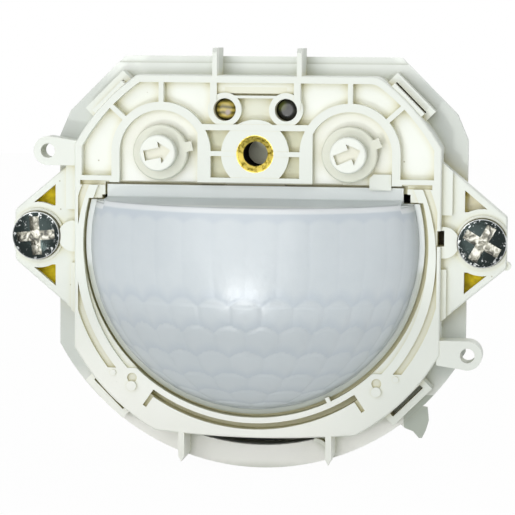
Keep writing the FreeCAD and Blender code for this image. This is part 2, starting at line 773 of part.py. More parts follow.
def fins():
    """Two fins over the top edge and two under the bottom edge, one of them with a web."""
    top = [top_fin(side * TOP_FIN_X) for side in EACH_SIDE]
    low = [bottom_fin(side * BOTTOM_FIN_X) for side in EACH_SIDE]
    return top + low + [fin_web()]


def groove_cuts():
    """Hooked groove under the lens."""
    bottom_h = front_h - GROOVE_DEPTH
    groove = ring(FACE_X, LENS_Z, groove_in, groove_out, bottom_h, front_h)
    right = on_circle(FACE_X, LENS_Z, FAR, GROOVE_HALF_ANGLE)
    left = on_circle(FACE_X, LENS_Z, FAR, -GROOVE_HALF_ANGLE)
    groove = groove.common(prism([(FACE_X, LENS_Z), right, left], bottom_h, front_h))
    hook = block(FACE_X - GROOVE_HOOK_W, FACE_X, LENS_Z - groove_out - GROOVE_HOOK_L,
                 LENS_Z - groove_in, front_h - GROOVE_HOOK_DEPTH, front_h)
    return [groove] + both_sides(turned(hook, FACE_X, LENS_Z, GROOVE_HALF_ANGLE), FACE_X)


def channel_cuts():
    """Shallow channels beside the side ridges, with the step down to the lens."""
    low = front_h - CHANNEL_DEPTH
    sides = block(-FAR, FAR, CHANNEL_END_Z, face_top - RIB_T - TOP_GROOVE_W, low, front_h)
    channel = ring(FACE_X, ridge_z, ridge_out, channel_out, low, front_h).common(sides)
    channel = channel.common(frame_outline(RIM_T / 2, low, front_h))
    return [channel, disc(FACE_X, ridge_z, ridge_in, low, front_h).common(sides)]


def top_groove_cuts():
    """Short grooves under the level ribs and the notches at the ends of the lens tab."""
    z1 = face_top - RIB_T
    start = lens_tab_half_w - TOP_GROOVE_START
    groove = block(start, frame_half_w - RIM_T, z1 - TOP_GROOVE_W, z1,
                   front_h - TOP_GROOVE_DEPTH, front_h)
    shoulder = LENS_SHOULDER_Z
    tab_end = FACE_X + lens_tab_half_w + LENS_GAP
    notch = block(tab_end - NOTCH_W, tab_end + LENS_GAP, shoulder, shoulder + NOTCH_H,
                  floor_back_h - FLOOR_T, front_h)
    left_end = FACE_X - lens_tab_half_w - LENS_GAP
    left_notch = block(left_end - LENS_GAP, left_end + LEFT_NOTCH_W, shoulder,
                       shoulder + LEFT_NOTCH_H, floor_back_h - FLOOR_T, front_h)
    return [moved(groove, FACE_X, 0), mirrored(groove, FACE_X / 2), notch, left_notch]


def lens_opening_cuts():
    """Opening for the lens: wide over the rim, narrower below the seat."""
    wide = lens_outline(FACE_X, LENS_GAP, LENS_TOP_GAP, rim_back_h, front_h)
    through = disc(FACE_X, LENS_Z, lens_r - LENS_SEAT_W, FLANGE_T, rim_back_h)
    through = through.common(block(-FAR, FAR, -FAR, LENS_SHOULDER_Z - LENS_SEAT_W, FLANGE_T,
                                   rim_back_h))
    return [wide, through]


def lens_seat():
    """Ledge and walls under the face that carry the lens rim and close the groove."""
    top = front_h - FACE_T
    wall = lens_outline(FACE_X, LENS_GAP + RIM_T, LENS_TOP_GAP, rim_back_h - RIM_T, top)
    trough_h = front_h - GROOVE_DEPTH - RIM_T
    trough = disc(FACE_X, LENS_Z, groove_out + RIM_T, trough_h, top)
    trough = trough.common(block(-FAR, FAR, -FAR, LENS_Z - groove_in / 2, trough_h, top))
    wall = joined(wall, [trough])
    return wall.common(frame_outline(RIM_T / 2, trough_h, top))


def small_studs():
    """Pins and nubs of the lower face."""
    pin_x, pin_z = on_circle(FACE_X, LENS_Z, lens_r + PIN_REACH, PIN_ANGLE)
    nub_x, nub_z = on_circle(FACE_X, LENS_Z, lens_r + NUB_REACH, NUB_ANGLE)
    pin = disc(pin_x, pin_z, PIN_R, front_h - FACE_T, front_h + PIN_H)
    nub = disc(nub_x, nub_z, NUB_R, front_h - FACE_T, front_h + NUB_H)
    return both_sides(pin, FACE_X) + both_sides(nub, FACE_X)


def pin_pockets():
    """Shallow pockets just above the two pins."""
    x, z = on_circle(FACE_X, LENS_Z, lens_r + PIN_REACH, PIN_ANGLE)
    pocket = disc(x, z + PIN_POCKET_RISE, PIN_R, front_h - PIN_POCKET_DEPTH, front_h)
    return both_sides(pocket, FACE_X)


def lens_clip():
    """Small clip over the lens rim at the lower right."""
    over_h = rim_front_h + LENS_TOP_GAP
    half = LENS_CLIP_W / 2
    clip = block(FACE_X - half, FACE_X + half, LENS_Z - groove_in,
                 LENS_Z - lens_r + LENS_CLIP_OVER, over_h, front_h)
    return turned(clip, FACE_X, LENS_Z, math.degrees(math.asin(LENS_CLIP_X / lens_r)))


def lens_catch():
    """Catch over the lens tab in the lower corner of the right guard."""
    x0 = right_knob_x + CATCH_IN
    x1 = x0 + CATCH_W
    over_h = rim_front_h + LENS_TOP_GAP
    top_h = front_h - CATCH_DROP
    z1 = block_bottom + CATCH_RISE
    catch = block(x0, x1, LENS_TAB_TOP - CATCH_LAP, z1, over_h, top_h)
    stem = block(x0, x1, block_bottom, z1, guard_floor_h - FLOOR_T, over_h)
    room = disc(right_knob_x, knob_z, KNOB_FLANGE_R + CATCH_GAP, guard_floor_h, front_h)
    return joined(catch, [stem]).cut(room)


def front_frame():
    """Ribbed front moulding that carries the lens, the insert and the cover."""
    guards = both_sides(guard_outline(guard_out, guard_floor_h - FLOOR_T, front_h), FACE_X)
    frame = joined(frame_shell(), [lens_seat()] + upper_ribs() + eye_features())
    frame = joined(frame, guards + [screw_block()])
    block_room = block(FACE_X - BLOCK_HALF_W, FACE_X + BLOCK_HALF_W, block_bottom, block_top,
                       guard_floor_h, front_h)
    well = guard_outline(GUARD_IN, guard_floor_h, front_h).cut(block_room)
    stem_hole = disc(right_knob_x, knob_z, KNOB_STEM_R + KNOB_STEM_GAP, FLANGE_T, guard_floor_h)
    eye = disc(eye_x, eye_z, EYE_R, floor_back_h, front_h)
    insert_bore = disc(FACE_X, insert_z, INSERT_R, insert_back_h, front_h)
    cuts = [shape for cut in (well, stem_hole, eye) for shape in both_sides(cut, FACE_X)]
    cuts += [insert_bore] + lens_opening_cuts() + channel_cuts() + groove_cuts()
    cuts += top_groove_cuts() + pin_pockets()
    cuts.append(block(-arm_tip_x, arm_tip_x, -ARM_ROOT_HALF_H - RIM_T, ARM_ROOT_HALF_H + RIM_T,
                      FLANGE_T, arm_back_h))
    frame = frame.cut(cuts)
    post = disc(FACE_X + FRAME_POST_X, eye_z + FRAME_POST_RISE, FRAME_POST_R, board_front_h,
                floor_back_h)
    nub = disc(arm_tip_x, STRAP_INSET / 2 - ARM_TIP_HALF_H, ARM_NUB_R, arm_back_h,
               arm_front_h - ARM_T / 3)
    extras = both_sides(side_arm()) + [ear(-1), ear(1), nub] + both_sides(post, FACE_X) + fins()
    extras += [snap_loop(quarter) for quarter in range(4)] + small_studs()
    extras += [lens_clip(), lens_catch()]
    slit = block(SLIT_X, SLIT_X + SLIT_W, SLIT_BOTTOM, SLIT_TOP, arm_back_h, front_h)
    return joined(frame, extras).cut(slit)


def dome(radius, rise):
    """Half of a flattened ball in front of the lens rim."""
    centre = at(lens_x, rim_front_h, LENS_Z)
    apex = at(lens_x, rim_front_h + rise, LENS_Z)
    rim = at(lens_x + radius, rim_front_h, LENS_Z)
    oval = Part.Ellipse(centre, radius, rise)
    quarter = Part.Arc(oval, -math.pi / 2, 0).toShape()
    profile = Part.Wire([quarter, Part.makeLine(rim, centre), Part.makeLine(centre, apex)])
    return Part.Face(profile).revolve(centre, FreeCAD.Vector(0, 1, 0), 360)


def under_lens_roof(inset):
    """Space below the sloping top wall of the lens."""
    apex_h = rim_front_h + LENS_RISE + LENS_WALL
    back = LENS_ROOF_Z - inset
    front = back - LENS_ROOF_FALL
    outline = [(rim_front_h, -FAR), (apex_h, -FAR), (apex_h, front), (rim_front_h, back)]
    return side_prism(outline, -FAR, FAR)


def within_tab():
    """Space in front of the lens rim, as wide as the tab above the shoulders."""
    half = lens_tab_half_w - LENS_SETBACK
    shoulder = LENS_SHOULDER_Z - LENS_SETBACK
    right = [(FAR, -FAR), (FAR, shoulder), (lens_x + half, shoulder), (lens_x + half, FAR)]
    left = [(2 * lens_x - x, z) for x, z in reversed(right)]
    return prism(right + left, rim_back_h, FAR)


def lens():
    """Milky half-dome lens with a flat rim and a stepped top tab."""
    rim = lens_outline(lens_x, 0, 0, rim_back_h, rim_front_h)
    step = block(FACE_X - LENS_TAB_STEP_HALF_W, FACE_X + LENS_TAB_STEP_HALF_W,
                 LENS_TAB_TOP - LENS_TAB_STEP, LENS_TAB_TOP + LENS_TAB_STEP, rim_back_h,
                 rim_front_h)
    outer = dome(LENS_DOME_R, LENS_RISE).common(under_lens_roof(0).common(within_tab()))
    inner = dome(LENS_DOME_R - LENS_WALL, LENS_RISE - LENS_WALL)
    inner = inner.common(under_lens_roof(LENS_WALL))
    mouth = disc(lens_x, LENS_Z, LENS_DOME_R - LENS_WALL, rim_back_h, rim_front_h)
    mouth = mouth.common(block(-FAR, FAR, -FAR, LENS_ROOF_Z - LENS_WALL, rim_back_h,
                               rim_front_h))
    return joined(rim, [outer, step]).cut([inner, mouth])


def threaded_insert():
    """Brass insert with a wide countersunk mouth."""
    body = ring(FACE_X, insert_z, INSERT_BORE_R, INSERT_R, insert_back_h, insert_front_h)
    mouth = Part.makeCone(INSERT_BORE_R + INSERT_MOUTH_W, INSERT_BORE_R, INSERT_MOUTH_DEPTH,
                          at(FACE_X, insert_front_h, insert_z), FreeCAD.Vector(0, 1, 0))
    return body.cut(mouth)


def arrow_outline():
    """Points of an arrow that looks right, about the middle of an adjuster."""
    half = KNOB_ARROW_LENGTH / 2
    neck = half - KNOB_ARROW_HEAD_L
    shaft = KNOB_ARROW_SHAFT_W / 2
    head = KNOB_ARROW_HEAD_W / 2
    upper = [(-half, shaft), (neck, shaft), (neck, head), (half, 0)]
    lower = [(x, -z) for x, z in reversed(upper[:-1])]
    return upper + lower


def knob(x, angle):
    """Adjuster: flange with a pointer tab, raised disc with an arrow recess, and stem."""
    h1 = knob_front_h
    top_h = h1 + KNOB_DISC_T
    flange = disc(x, knob_z, KNOB_FLANGE_R, h1 - KNOB_FLANGE_T, h1)
    flange = flange.makeFillet(EDGE_ROUND, front_edges(flange, h1))
    tab = block(KNOB_DISC_R, KNOB_FLANGE_R + KNOB_TAB_REACH, -KNOB_TAB_W / 2, KNOB_TAB_W / 2,
                h1 - KNOB_TAB_T, h1)
    cap = disc(x, knob_z, KNOB_DISC_R, h1 - EDGE_ROUND, top_h)
    cap = cap.makeFillet(EDGE_ROUND, front_edges(cap, top_h))
    stem = disc(x, knob_z, KNOB_STEM_R, rotor_front_h - ROTOR_SOCKET, h1 - KNOB_FLANGE_T)
    arrow = prism(arrow_outline(), top_h - KNOB_ARROW_DEPTH, top_h)
    placed = [turned(moved(shape, x, knob_z), x, knob_z, angle) for shape in (tab, arrow)]
    return joined(flange, [cap, stem, placed[0]]).cut(placed[1])


def trimmer_case(x):
    """Square case of a trimmer potentiometer with a round cup for the rotor."""
    half = TRIMMER_W / 2
    body = block(x - half, x + half, knob_z - half, knob_z + half, board_front_h, trimmer_top_h)
    cup_floor_h = rotor_front_h - ROTOR_T - ROTOR_GAP
    return body.cut(disc(x, knob_z, cup_r, cup_floor_h, trimmer_top_h))


def trimmer_rotor(x):
    """Rotor of a trimmer, with the socket that the adjuster's stem is pressed into."""
    rotor = disc(x, knob_z, rotor_r, rotor_front_h - ROTOR_T, rotor_front_h)
    return rotor.cut(disc(x, knob_z, KNOB_STEM_R, rotor_front_h - ROTOR_SOCKET, rotor_front_h))


def box_screw(side, turn):
    """Box screw with a low domed head, a wide cross recess and a thinner neck."""
    x = side * screw_x
    seat_h = arm_front_h
    top_h = seat_h + SCREW_HEAD_H
    ball_r = (SCREW_HEAD_R ** 2 + SCREW_DOME_H ** 2) / (2 * SCREW_DOME_H)
    ball = Part.makeSphere(ball_r, at(x, top_h - ball_r, 0))
    head = disc(x, 0, SCREW_HEAD_R, seat_h, top_h).common(ball)
    half = SCREW_RECESS_SPAN / 2
    across = SCREW_RECESS_W / 2
    floor_h = top_h - SCREW_RECESS_DEPTH
    cross = joined(block(x - half, x + half, -across, across, floor_h, top_h),
                   [block(x - across, x + across, -half, half, floor_h, top_h)])
    head = head.cut(turned(cross, x, 0, turn))
    tip_h = seat_h - SCREW_LENGTH
    thread = disc(x, 0, SCREW_R, tip_h, SCREW_THREAD_H)
    thread = thread.makeChamfer(SCREW_R / 3, front_edges(thread, tip_h))
    neck = disc(x, 0, SCREW_NECK_R, SCREW_THREAD_H, seat_h)
    return joined(head, [neck, thread])


def mouth_outline(inset, h0, h1):
    """Solid with the outline of the housing's mouth, drawn in by an inset."""
    half = mouth_half_w - inset
    round_part = disc(0, 0, mouth_r - inset, h0, h1)
    return round_part.common(block(-half, half, -FAR, mouth_top - inset, h0, h1))


def pot_outline(inset, h0, h1):
    """Solid with the outline of the housing's pot, drawn in by an inset."""
    half = mouth_half_w - inset
    round_part = disc(0, 0, pot_r - inset, h0, h1)
    return round_part.common(block(-half, half, -FAR, pot_top - inset, h0, h1))


def pir_leads():
    """Places of the three leads of the infrared sensor."""
    places = [math.radians(angle) for angle in PIR_LEAD_ANGLES]
    return [(FACE_X + PIR_LEAD_PCD_R * math.cos(a), PIR_Z + PIR_LEAD_PCD_R * math.sin(a))
            for a in places]


def eye_leads(x):
    """Lead places of the part behind one sensor window."""
    return [x - LEAD_HALF_PITCH, x + LEAD_HALF_PITCH]


def sensor_board():
    """Front circuit board, resting on the shoulder of the housing."""
    board = mouth_outline(MOUTH_WALL + BOARD_GAP, board_back_h, board_front_h)
    holes = [disc(x, z, PIR_LEAD_R, board_back_h, board_front_h) for x, z in pir_leads()]
    for eye in (eye_x, 2 * FACE_X - eye_x):
        holes += [disc(x, eye_z, LEAD_R, board_back_h, board_front_h) for x in eye_leads(eye)]
    return board.cut(holes)


def pir_header():
    """Metal base of the infrared sensor with its three leads."""
    base = disc(FACE_X, PIR_Z, PIR_BASE_R, board_front_h, board_front_h + PIR_BASE_T)
    leads = [disc(x, z, PIR_LEAD_R, board_back_h - LEAD_TAIL, board_front_h)
             for x, z in pir_leads()]
    return joined(base, leads)


def pir_opening(grow, h0, h1):
    """Block over the window of the infrared sensor, grown to each side."""
    half = PIR_WINDOW_W / 2 + grow
    half_z = PIR_WINDOW_H / 2 + grow
    return block(FACE_X - half, FACE_X + half, PIR_Z - half_z, PIR_Z + half_z, h0, h1)


def pir_can():
    """Metal can of the infrared sensor with its square window opening."""
    h0 = board_front_h + PIR_BASE_T
    h1 = h0 + PIR_CAN_H
    can = disc(FACE_X, PIR_Z, PIR_CAN_R, h0, h1)
    can = can.makeFillet(2 * PIR_WALL, front_edges(can, h1))
    can = can.cut(disc(FACE_X, PIR_Z, PIR_CAN_R - PIR_WALL, h0, h1 - PIR_WALL))
    return can.cut(pir_opening(0, h1 - PIR_WALL, h1))


def pir_window():
    """Silicon filter behind the opening of the can."""
    h1 = board_front_h + PIR_BASE_T + PIR_CAN_H - PIR_WALL
    return pir_opening(PIR_WINDOW_T, h1 - PIR_WINDOW_T, h1)


def eye_part(x, drop):
    """Round part in one sensor window, standing on its leads."""
    top_h = front_h - drop
    foot_h = top_h - EYE_PART_LENGTH
    body = disc(x, eye_z, EYE_PART_R, foot_h, top_h)
    body = body.makeFillet(EYE_PART_R / 2, front_edges(body, top_h))
    leads = [disc(lead, eye_z, LEAD_R, board_back_h - LEAD_TAIL, foot_h) for lead in eye_leads(x)]
    return joined(body, leads)


def terminal_half_w():
    """Half width of the terminal block."""
    return (TERMINAL_POLES * TERMINAL_PITCH + TERMINAL_WALL) / 2


def rear_housing():
    """Pot in the wall box: wide mouth, shoulder for the board, and posts on its floor."""
    shoulder_back_h = board_back_h - SHOULDER_T
    mouth = mouth_outline(0, shoulder_back_h, FLANGE_RELIEF)
    pot = pot_outline(0, pot_back_h, shoulder_back_h)
    pot = pot.makeFillet(POT_FOOT_R, front_edges(pot, pot_back_h))
    body = joined(mouth, [pot])
    body = body.cut([mouth_outline(MOUTH_WALL, board_back_h, FLANGE_RELIEF),
                     pot_outline(POT_WALL, pot_floor_h, board_back_h)])
    reach = STANDOFF_REACH * math.sqrt(0.5)
    posts = [disc(sx * reach, sz * reach, STANDOFF_R, pot_floor_h, power_back_h)
             for sx in EACH_SIDE for sz in EACH_SIDE]
    half = terminal_half_w() + TERMINAL_FIT
    window = block(-half, half, TERMINAL_BOTTOM - TERMINAL_FIT, terminal_top + TERMINAL_FIT,
                   pot_back_h, pot_floor_h)
    return joined(body, posts).cut(window)


def power_board():
    """Rear circuit board, on the posts of the housing."""
    return pot_outline(POT_WALL + POWER_BOARD_GAP, power_back_h, power_front_h)


def cased_part(place, width, length, height):
    """Moulded case standing on the power board, its front edges rounded."""
    x, z = place
    top_h = power_front_h + height
    case = block(x - width / 2, x + width / 2, z - length / 2, z + length / 2, power_front_h,
                 top_h)
    return case.makeFillet(CASE_ROUND, front_edges(case, top_h))


def round_part(place, radius, height):
    """Upright round part on the power board, its front edge rounded."""
    top_h = power_front_h + height
    body = disc(place[0], place[1], radius, power_front_h, top_h)
    return body.makeFillet(CASE_ROUND, front_edges(body, top_h))


def electrolytic_capacitor():
    """Upright capacitor can with the rolled bead near its foot."""
    x, z = ELECTROLYTIC_AT
    bead_h = power_front_h + ELECTROLYTIC_BEAD_H
    bead = ring(x, z, ELECTROLYTIC_R - CASE_ROUND / 2, ELECTROLYTIC_R + CASE_ROUND, bead_h,
                bead_h + CASE_ROUND)
    return round_part(ELECTROLYTIC_AT, ELECTROLYTIC_R, ELECTROLYTIC_H).cut(bead)


def choke():
    """Drum core of the choke, with two rims."""
    x, z = CHOKE_AT
    h0 = power_front_h
    h1 = h0 + CHOKE_H
    rims = [disc(x, z, CHOKE_R, h0, h0 + CHOKE_RIM_T), disc(x, z, CHOKE_R, h1 - CHOKE_RIM_T, h1)]
    return joined(disc(x, z, CHOKE_CORE_R, h0, h1), rims)


def choke_winding():
    """Copper winding of the choke, as one sleeve."""
    x, z = CHOKE_AT
    return ring(x, z, CHOKE_CORE_R, CHOKE_R - WINDING_DROP, power_front_h + CHOKE_RIM_T,
                power_front_h + CHOKE_H - CHOKE_RIM_T)


def varistor():
    """Disc varistor standing on edge on its leads."""
    x, z = VARISTOR_AT
    middle_h = power_front_h + VARISTOR_R + VARISTOR_STAND
    body = Part.makeCylinder(VARISTOR_R, VARISTOR_T, at(x, middle_h, z - VARISTOR_T / 2),
                             FreeCAD.Vector(0, 0, 1))
    legs = [disc(x + s * VARISTOR_R / 2, z, LEAD_R, power_front_h, middle_h) for s in EACH_SIDE]
    return joined(body, legs)


def places(count, pitch):
    """Evenly spaced places about the middle."""
    return [(i - (count - 1) / 2) * pitch for i in range(count)]


def header_body(h0, h1):
    """Strip of the board connector."""
    half = HEADER_PINS * HEADER_PITCH / 2
    return block(-half, half, HEADER_Z - HEADER_W / 2, HEADER_Z + HEADER_W / 2, h0, h1)


def pin_row(grow, h0, h1):
    """Square pins of the board connector, grown by a clearance."""
    half = HEADER_PIN_W / 2 + grow
    return [block(x - half, x + half, HEADER_Z - half, HEADER_Z + half, h0, h1)
            for x in places(HEADER_PINS, HEADER_PITCH)]


def board_header():
    """Pin strip under the sensor board."""
    strip_back_h = board_back_h - HEADER_H
    return joined(header_body(strip_back_h, board_back_h),
                  pin_row(0, socket_top_h - PIN_ENGAGE, strip_back_h))


def board_socket():
    """Socket strip on the power board that takes the pins."""
    strip = header_body(power_front_h, socket_top_h)
    return strip.cut(pin_row(SOCKET_PIN_GAP, power_front_h + SOCKET_FLOOR, socket_top_h))


def clamp_box(x, grow):
    """Space of one clamp inside the terminal block."""
    half = CLAMP_W / 2 + grow
    return block(x - half, x + half, clamp_bottom - grow, clamp_bottom + CLAMP_Z_L + grow,
                 clamp_front_h - CLAMP_H - grow, clamp_front_h + grow)


def terminal_screw_hole(x, r, z0, z1):
    """Upright cylinder on the axis of one terminal screw."""
    return Part.makeCylinder(r, z1 - z0, at(x, clamp_mid_h, z0), FreeCAD.Vector(0, 0, 1))


def terminal_block():
    """Three-pole terminal block through the floor of the housing."""
    half = terminal_half_w()
    body = block(-half, half, TERMINAL_BOTTOM, terminal_top, terminal_back_h, power_back_h)
    for x in places(TERMINAL_POLES, TERMINAL_PITCH):
        wire = disc(x, wire_z, TERMINAL_WIRE_R, terminal_back_h, clamp_front_h)
        screw_room = terminal_screw_hole(x, TERMINAL_SCREW_R + TERMINAL_FIT, TERMINAL_BOTTOM,
                                         wire_z)
        body = body.cut([clamp_box(x, TERMINAL_FIT), wire, screw_room])
    return body


def terminal_clamps():
    """Brass clamps, one in each pole."""
    clamps = []
    for x in places(TERMINAL_POLES, TERMINAL_PITCH):
        wire = disc(x, wire_z, TERMINAL_WIRE_R, terminal_back_h, power_back_h)
        screw_room = terminal_screw_hole(x, TERMINAL_SCREW_R, TERMINAL_BOTTOM, wire_z)
        clamps.append(clamp_box(x, 0).cut([wire, screw_room]))
    return Part.makeCompound(clamps)


def terminal_screws():
    """Slotted screws, one in each clamp, drawn back from the wire."""
    screws = []
    half_slot = TERMINAL_SCREW_SLOT / 2
    for x in places(TERMINAL_POLES, TERMINAL_PITCH):
        screw = terminal_screw_hole(x, TERMINAL_SCREW_R, TERMINAL_BOTTOM,
                                    wire_z - TERMINAL_WIRE_R)
        slot = block(x - TERMINAL_SCREW_R, x + TERMINAL_SCREW_R, TERMINAL_BOTTOM,
                     TERMINAL_BOTTOM + TERMINAL_SCREW_SLOT, clamp_mid_h - half_slot,
                     clamp_mid_h + half_slot)
        screws.append(screw.cut(slot))
    return Part.makeCompound(screws)


def write_parts():
    """Build every node and write one file for each."""
    nodes = {
        "mounting_flange": mounting_flange(),
        "mounting_strap": mounting_strap(),
        "front_frame": front_frame(),
        "lens": lens(),
        "threaded_insert": threaded_insert(),
        "knob_time": knob(left_knob_x, KNOB_TIME_ANGLE),
        "knob_light": knob(right_knob_x, KNOB_LIGHT_ANGLE),
        "trimmer_time_case": trimmer_case(left_knob_x),
        "trimmer_light_case": trimmer_case(right_knob_x),
        "trimmer_time_rotor": trimmer_rotor(left_knob_x),
        "trimmer_light_rotor": trimmer_rotor(right_knob_x),
        "box_screw_left": box_screw(-1, SCREW_TURN_LEFT),
        "box_screw_right": box_screw(1, SCREW_TURN_RIGHT),
        "sensor_board": sensor_board(),
        "pir_header": pir_header(),
        "pir_can": pir_can(),
        "pir_window": pir_window(),
        "indicator_led": eye_part(2 * FACE_X - eye_x, LED_DROP),
        "light_sensor": eye_part(eye_x, LDR_DROP),
        "rear_housing": rear_housing(),
        "power_board": power_board(),
        "relay": cased_part(RELAY_AT, RELAY_W, RELAY_L, RELAY_H),
        "film_capacitor": cased_part(FILM_AT, FILM_W, FILM_L, FILM_H),
        "electrolytic_capacitor": electrolytic_capacitor(),
        "choke": choke(),
        "choke_winding": choke_winding(),
        "fuse": round_part(FUSE_AT, FUSE_R, FUSE_H),
        "varistor": varistor(),
        "board_header": board_header(),
        "board_socket": board_socket(),
        "terminal_block": terminal_block(),
        "terminal_clamps": terminal_clamps(),
        "terminal_screws": terminal_screws(),
    }
    os.makedirs("parts", exist_ok=True)
    for name, shape in nodes.items():
        print(name, len(shape.Solids), "solids, valid", shape.isValid(), round(shape.Volume, 1))
        shape.exportStep(f"parts/{name}.step")


write_parts()
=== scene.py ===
"""Flush-mounted motion detector unit: finishes, lens facets, threads, light and camera."""
import json
import logging
import math
from dataclasses import dataclass, field
from enum import Enum

import bpy
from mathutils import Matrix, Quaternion, Vector

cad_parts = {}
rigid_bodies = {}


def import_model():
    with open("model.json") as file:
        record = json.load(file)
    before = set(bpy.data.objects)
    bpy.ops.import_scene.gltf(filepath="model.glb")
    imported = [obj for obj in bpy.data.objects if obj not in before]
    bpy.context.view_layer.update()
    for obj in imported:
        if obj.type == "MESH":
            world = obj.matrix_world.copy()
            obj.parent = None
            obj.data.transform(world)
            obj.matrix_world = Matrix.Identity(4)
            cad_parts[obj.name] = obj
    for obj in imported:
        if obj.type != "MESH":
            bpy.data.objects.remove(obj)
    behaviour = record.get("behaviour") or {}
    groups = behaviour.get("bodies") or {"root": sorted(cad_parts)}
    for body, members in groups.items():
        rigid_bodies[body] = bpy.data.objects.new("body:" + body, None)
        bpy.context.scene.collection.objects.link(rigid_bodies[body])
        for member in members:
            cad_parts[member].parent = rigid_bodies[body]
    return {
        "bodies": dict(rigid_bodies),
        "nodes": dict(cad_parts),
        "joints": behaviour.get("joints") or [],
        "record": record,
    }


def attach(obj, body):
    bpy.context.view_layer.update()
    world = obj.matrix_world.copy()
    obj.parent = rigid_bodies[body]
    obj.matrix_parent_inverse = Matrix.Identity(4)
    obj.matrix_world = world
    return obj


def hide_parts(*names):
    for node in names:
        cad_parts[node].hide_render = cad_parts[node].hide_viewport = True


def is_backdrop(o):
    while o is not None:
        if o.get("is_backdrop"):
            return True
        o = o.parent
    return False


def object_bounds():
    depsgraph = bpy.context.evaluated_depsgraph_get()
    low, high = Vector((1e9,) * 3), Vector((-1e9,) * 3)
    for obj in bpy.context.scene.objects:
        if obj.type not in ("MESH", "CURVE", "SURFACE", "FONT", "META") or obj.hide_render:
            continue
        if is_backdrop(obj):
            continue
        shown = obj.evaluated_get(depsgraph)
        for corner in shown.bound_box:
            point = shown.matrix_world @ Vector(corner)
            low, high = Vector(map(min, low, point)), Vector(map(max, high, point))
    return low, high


LOG = logging.getLogger("motion_detector")
MM = 0.001
DETECTOR = "detector"
Tree = bpy.types.NodeTree
Socket = bpy.types.NodeSocket
# A zone's limit this far out bounds nothing.
OPEN_MM = 99.0
# At a scale of 1, one band of a wave texture takes this share of a unit.
WAVE_BAND = 0.314


def linear(hex_colour: str) -> tuple[float, float, float, float]:
    """Turn an sRGB hex value into a linear colour.

    Args:
        hex_colour: six hex digits.

    Returns:
        Linear red, green and blue, and an alpha of 1.
    """
    parts = [int(hex_colour[i:i + 2], 16) / 255 for i in (0, 2, 4)]
    values = [p / 12.92 if p <= 0.04045 else ((p + 0.055) / 1.055) ** 2.4 for p in parts]
    return values[0], values[1], values[2], 1.0


def add_node(tree: Tree, kind: str, settings: dict | None = None,
             links: dict | None = None) -> bpy.types.Node:
    """Add one node with its settings and links.

    Args:
        tree: tree that takes the node.
        kind: type name of the node.
        settings: values by attribute name, or by input name or number; "ramp" takes colour stops.
        links: output sockets by the name or number of the input that each feeds.

    Returns:
        The new node.
    """
    node = tree.nodes.new(kind)
    for name, value in (settings or {}).items():
        if name == "ramp":
            stops = node.color_ramp.elements
            while len(stops) < len(value):
                stops.new(0.5)
            for stop, (place, colour) in zip(stops, value):
                stop.position = place
                stop.color = linear(colour)
        elif isinstance(name, int) or name[0].isupper():
            node.inputs[name].default_value = value
        else:
            setattr(node, name, value)
    for name, socket in (links or {}).items():
        tree.links.new(socket, node.inputs[name])
    return node


def run_recipe(tree: Tree, known: dict, recipe: tuple) -> dict:
    """Turn a list of formula steps into linked maths nodes.

    Args:
        tree: tree that takes the nodes.
        known: sockets by name that the first steps may use.
        recipe: steps, each a result's name, an operation and its operands by name or number;
            CLAMPED after the operation keeps the result between 0 and 1.

    Returns:
        Sockets by name, the known ones and the results.
    """
    sockets = dict(known)
    for result, operation, *operands in recipe:
        name, _, clamped = operation.partition(" ")
        settings = {"operation": name, "use_clamp": bool(clamped)}
        links = {}
        for place, operand in enumerate(operands):
            if isinstance(operand, str):
                links[place] = sockets[operand]
            else:
                settings[place] = operand
        sockets[result] = add_node(tree, "ShaderNodeMath", settings, links).outputs["Value"]
    return sockets


def layered(tree: Tree, base: str, layers: list) -> Socket:
    """Lay tones over a base colour, one after another.

    Args:
        tree: the material's tree.
        base: hex colour at the bottom.
        layers: pairs of a tone, as a hex colour or a socket, and the socket of its share.

    Returns:
        The resulting colour.
    """
    plain = add_node(tree, "ShaderNodeRGB")
    plain.outputs[0].default_value = linear(base)
    colour = plain.outputs[0]
    for tone, share in layers:
        settings = {"data_type": "RGBA"}
        links = {0: share, 6: colour}
        if isinstance(tone, str):
            settings[7] = linear(tone)
        else:
            links[7] = tone
        colour = add_node(tree, "ShaderNodeMix", settings, links).outputs[2]
    return colour


class Gloss(Enum):
    """How a moulded surface left its tool, as roughness."""

    SATIN = 0.42
    EVEN = 0.5
    DULL = 0.64


@dataclass(frozen=True)
class Finish:
    """A surface: its name and the nodes that draw it."""

    name: str

    def build(self) -> bpy.types.Material:
        """Make the material.

        Returns:
            The finished material.
        """
        material = bpy.data.materials.new(self.name)
        material.use_nodes = True
        tree = material.node_tree
        tree.nodes.clear()
        place = add_node(tree, "ShaderNodeTexCoord").outputs["Object"]
        values, feeds = self.draw(tree, place)
        shader = add_node(tree, "ShaderNodeBsdfPrincipled", values, feeds)
        add_node(tree, "ShaderNodeOutputMaterial", links={"Surface": shader.outputs["BSDF"]})
        return material

    def draw(self, tree: Tree, place: Socket) -> tuple[dict, dict]:
        """Add the finish's own nodes.

        Args:
            tree: the material's tree.
            place: object coordinates.

        Returns:
            The shader's values, and the sockets that feed it, by input name.
        """
        raise NotImplementedError


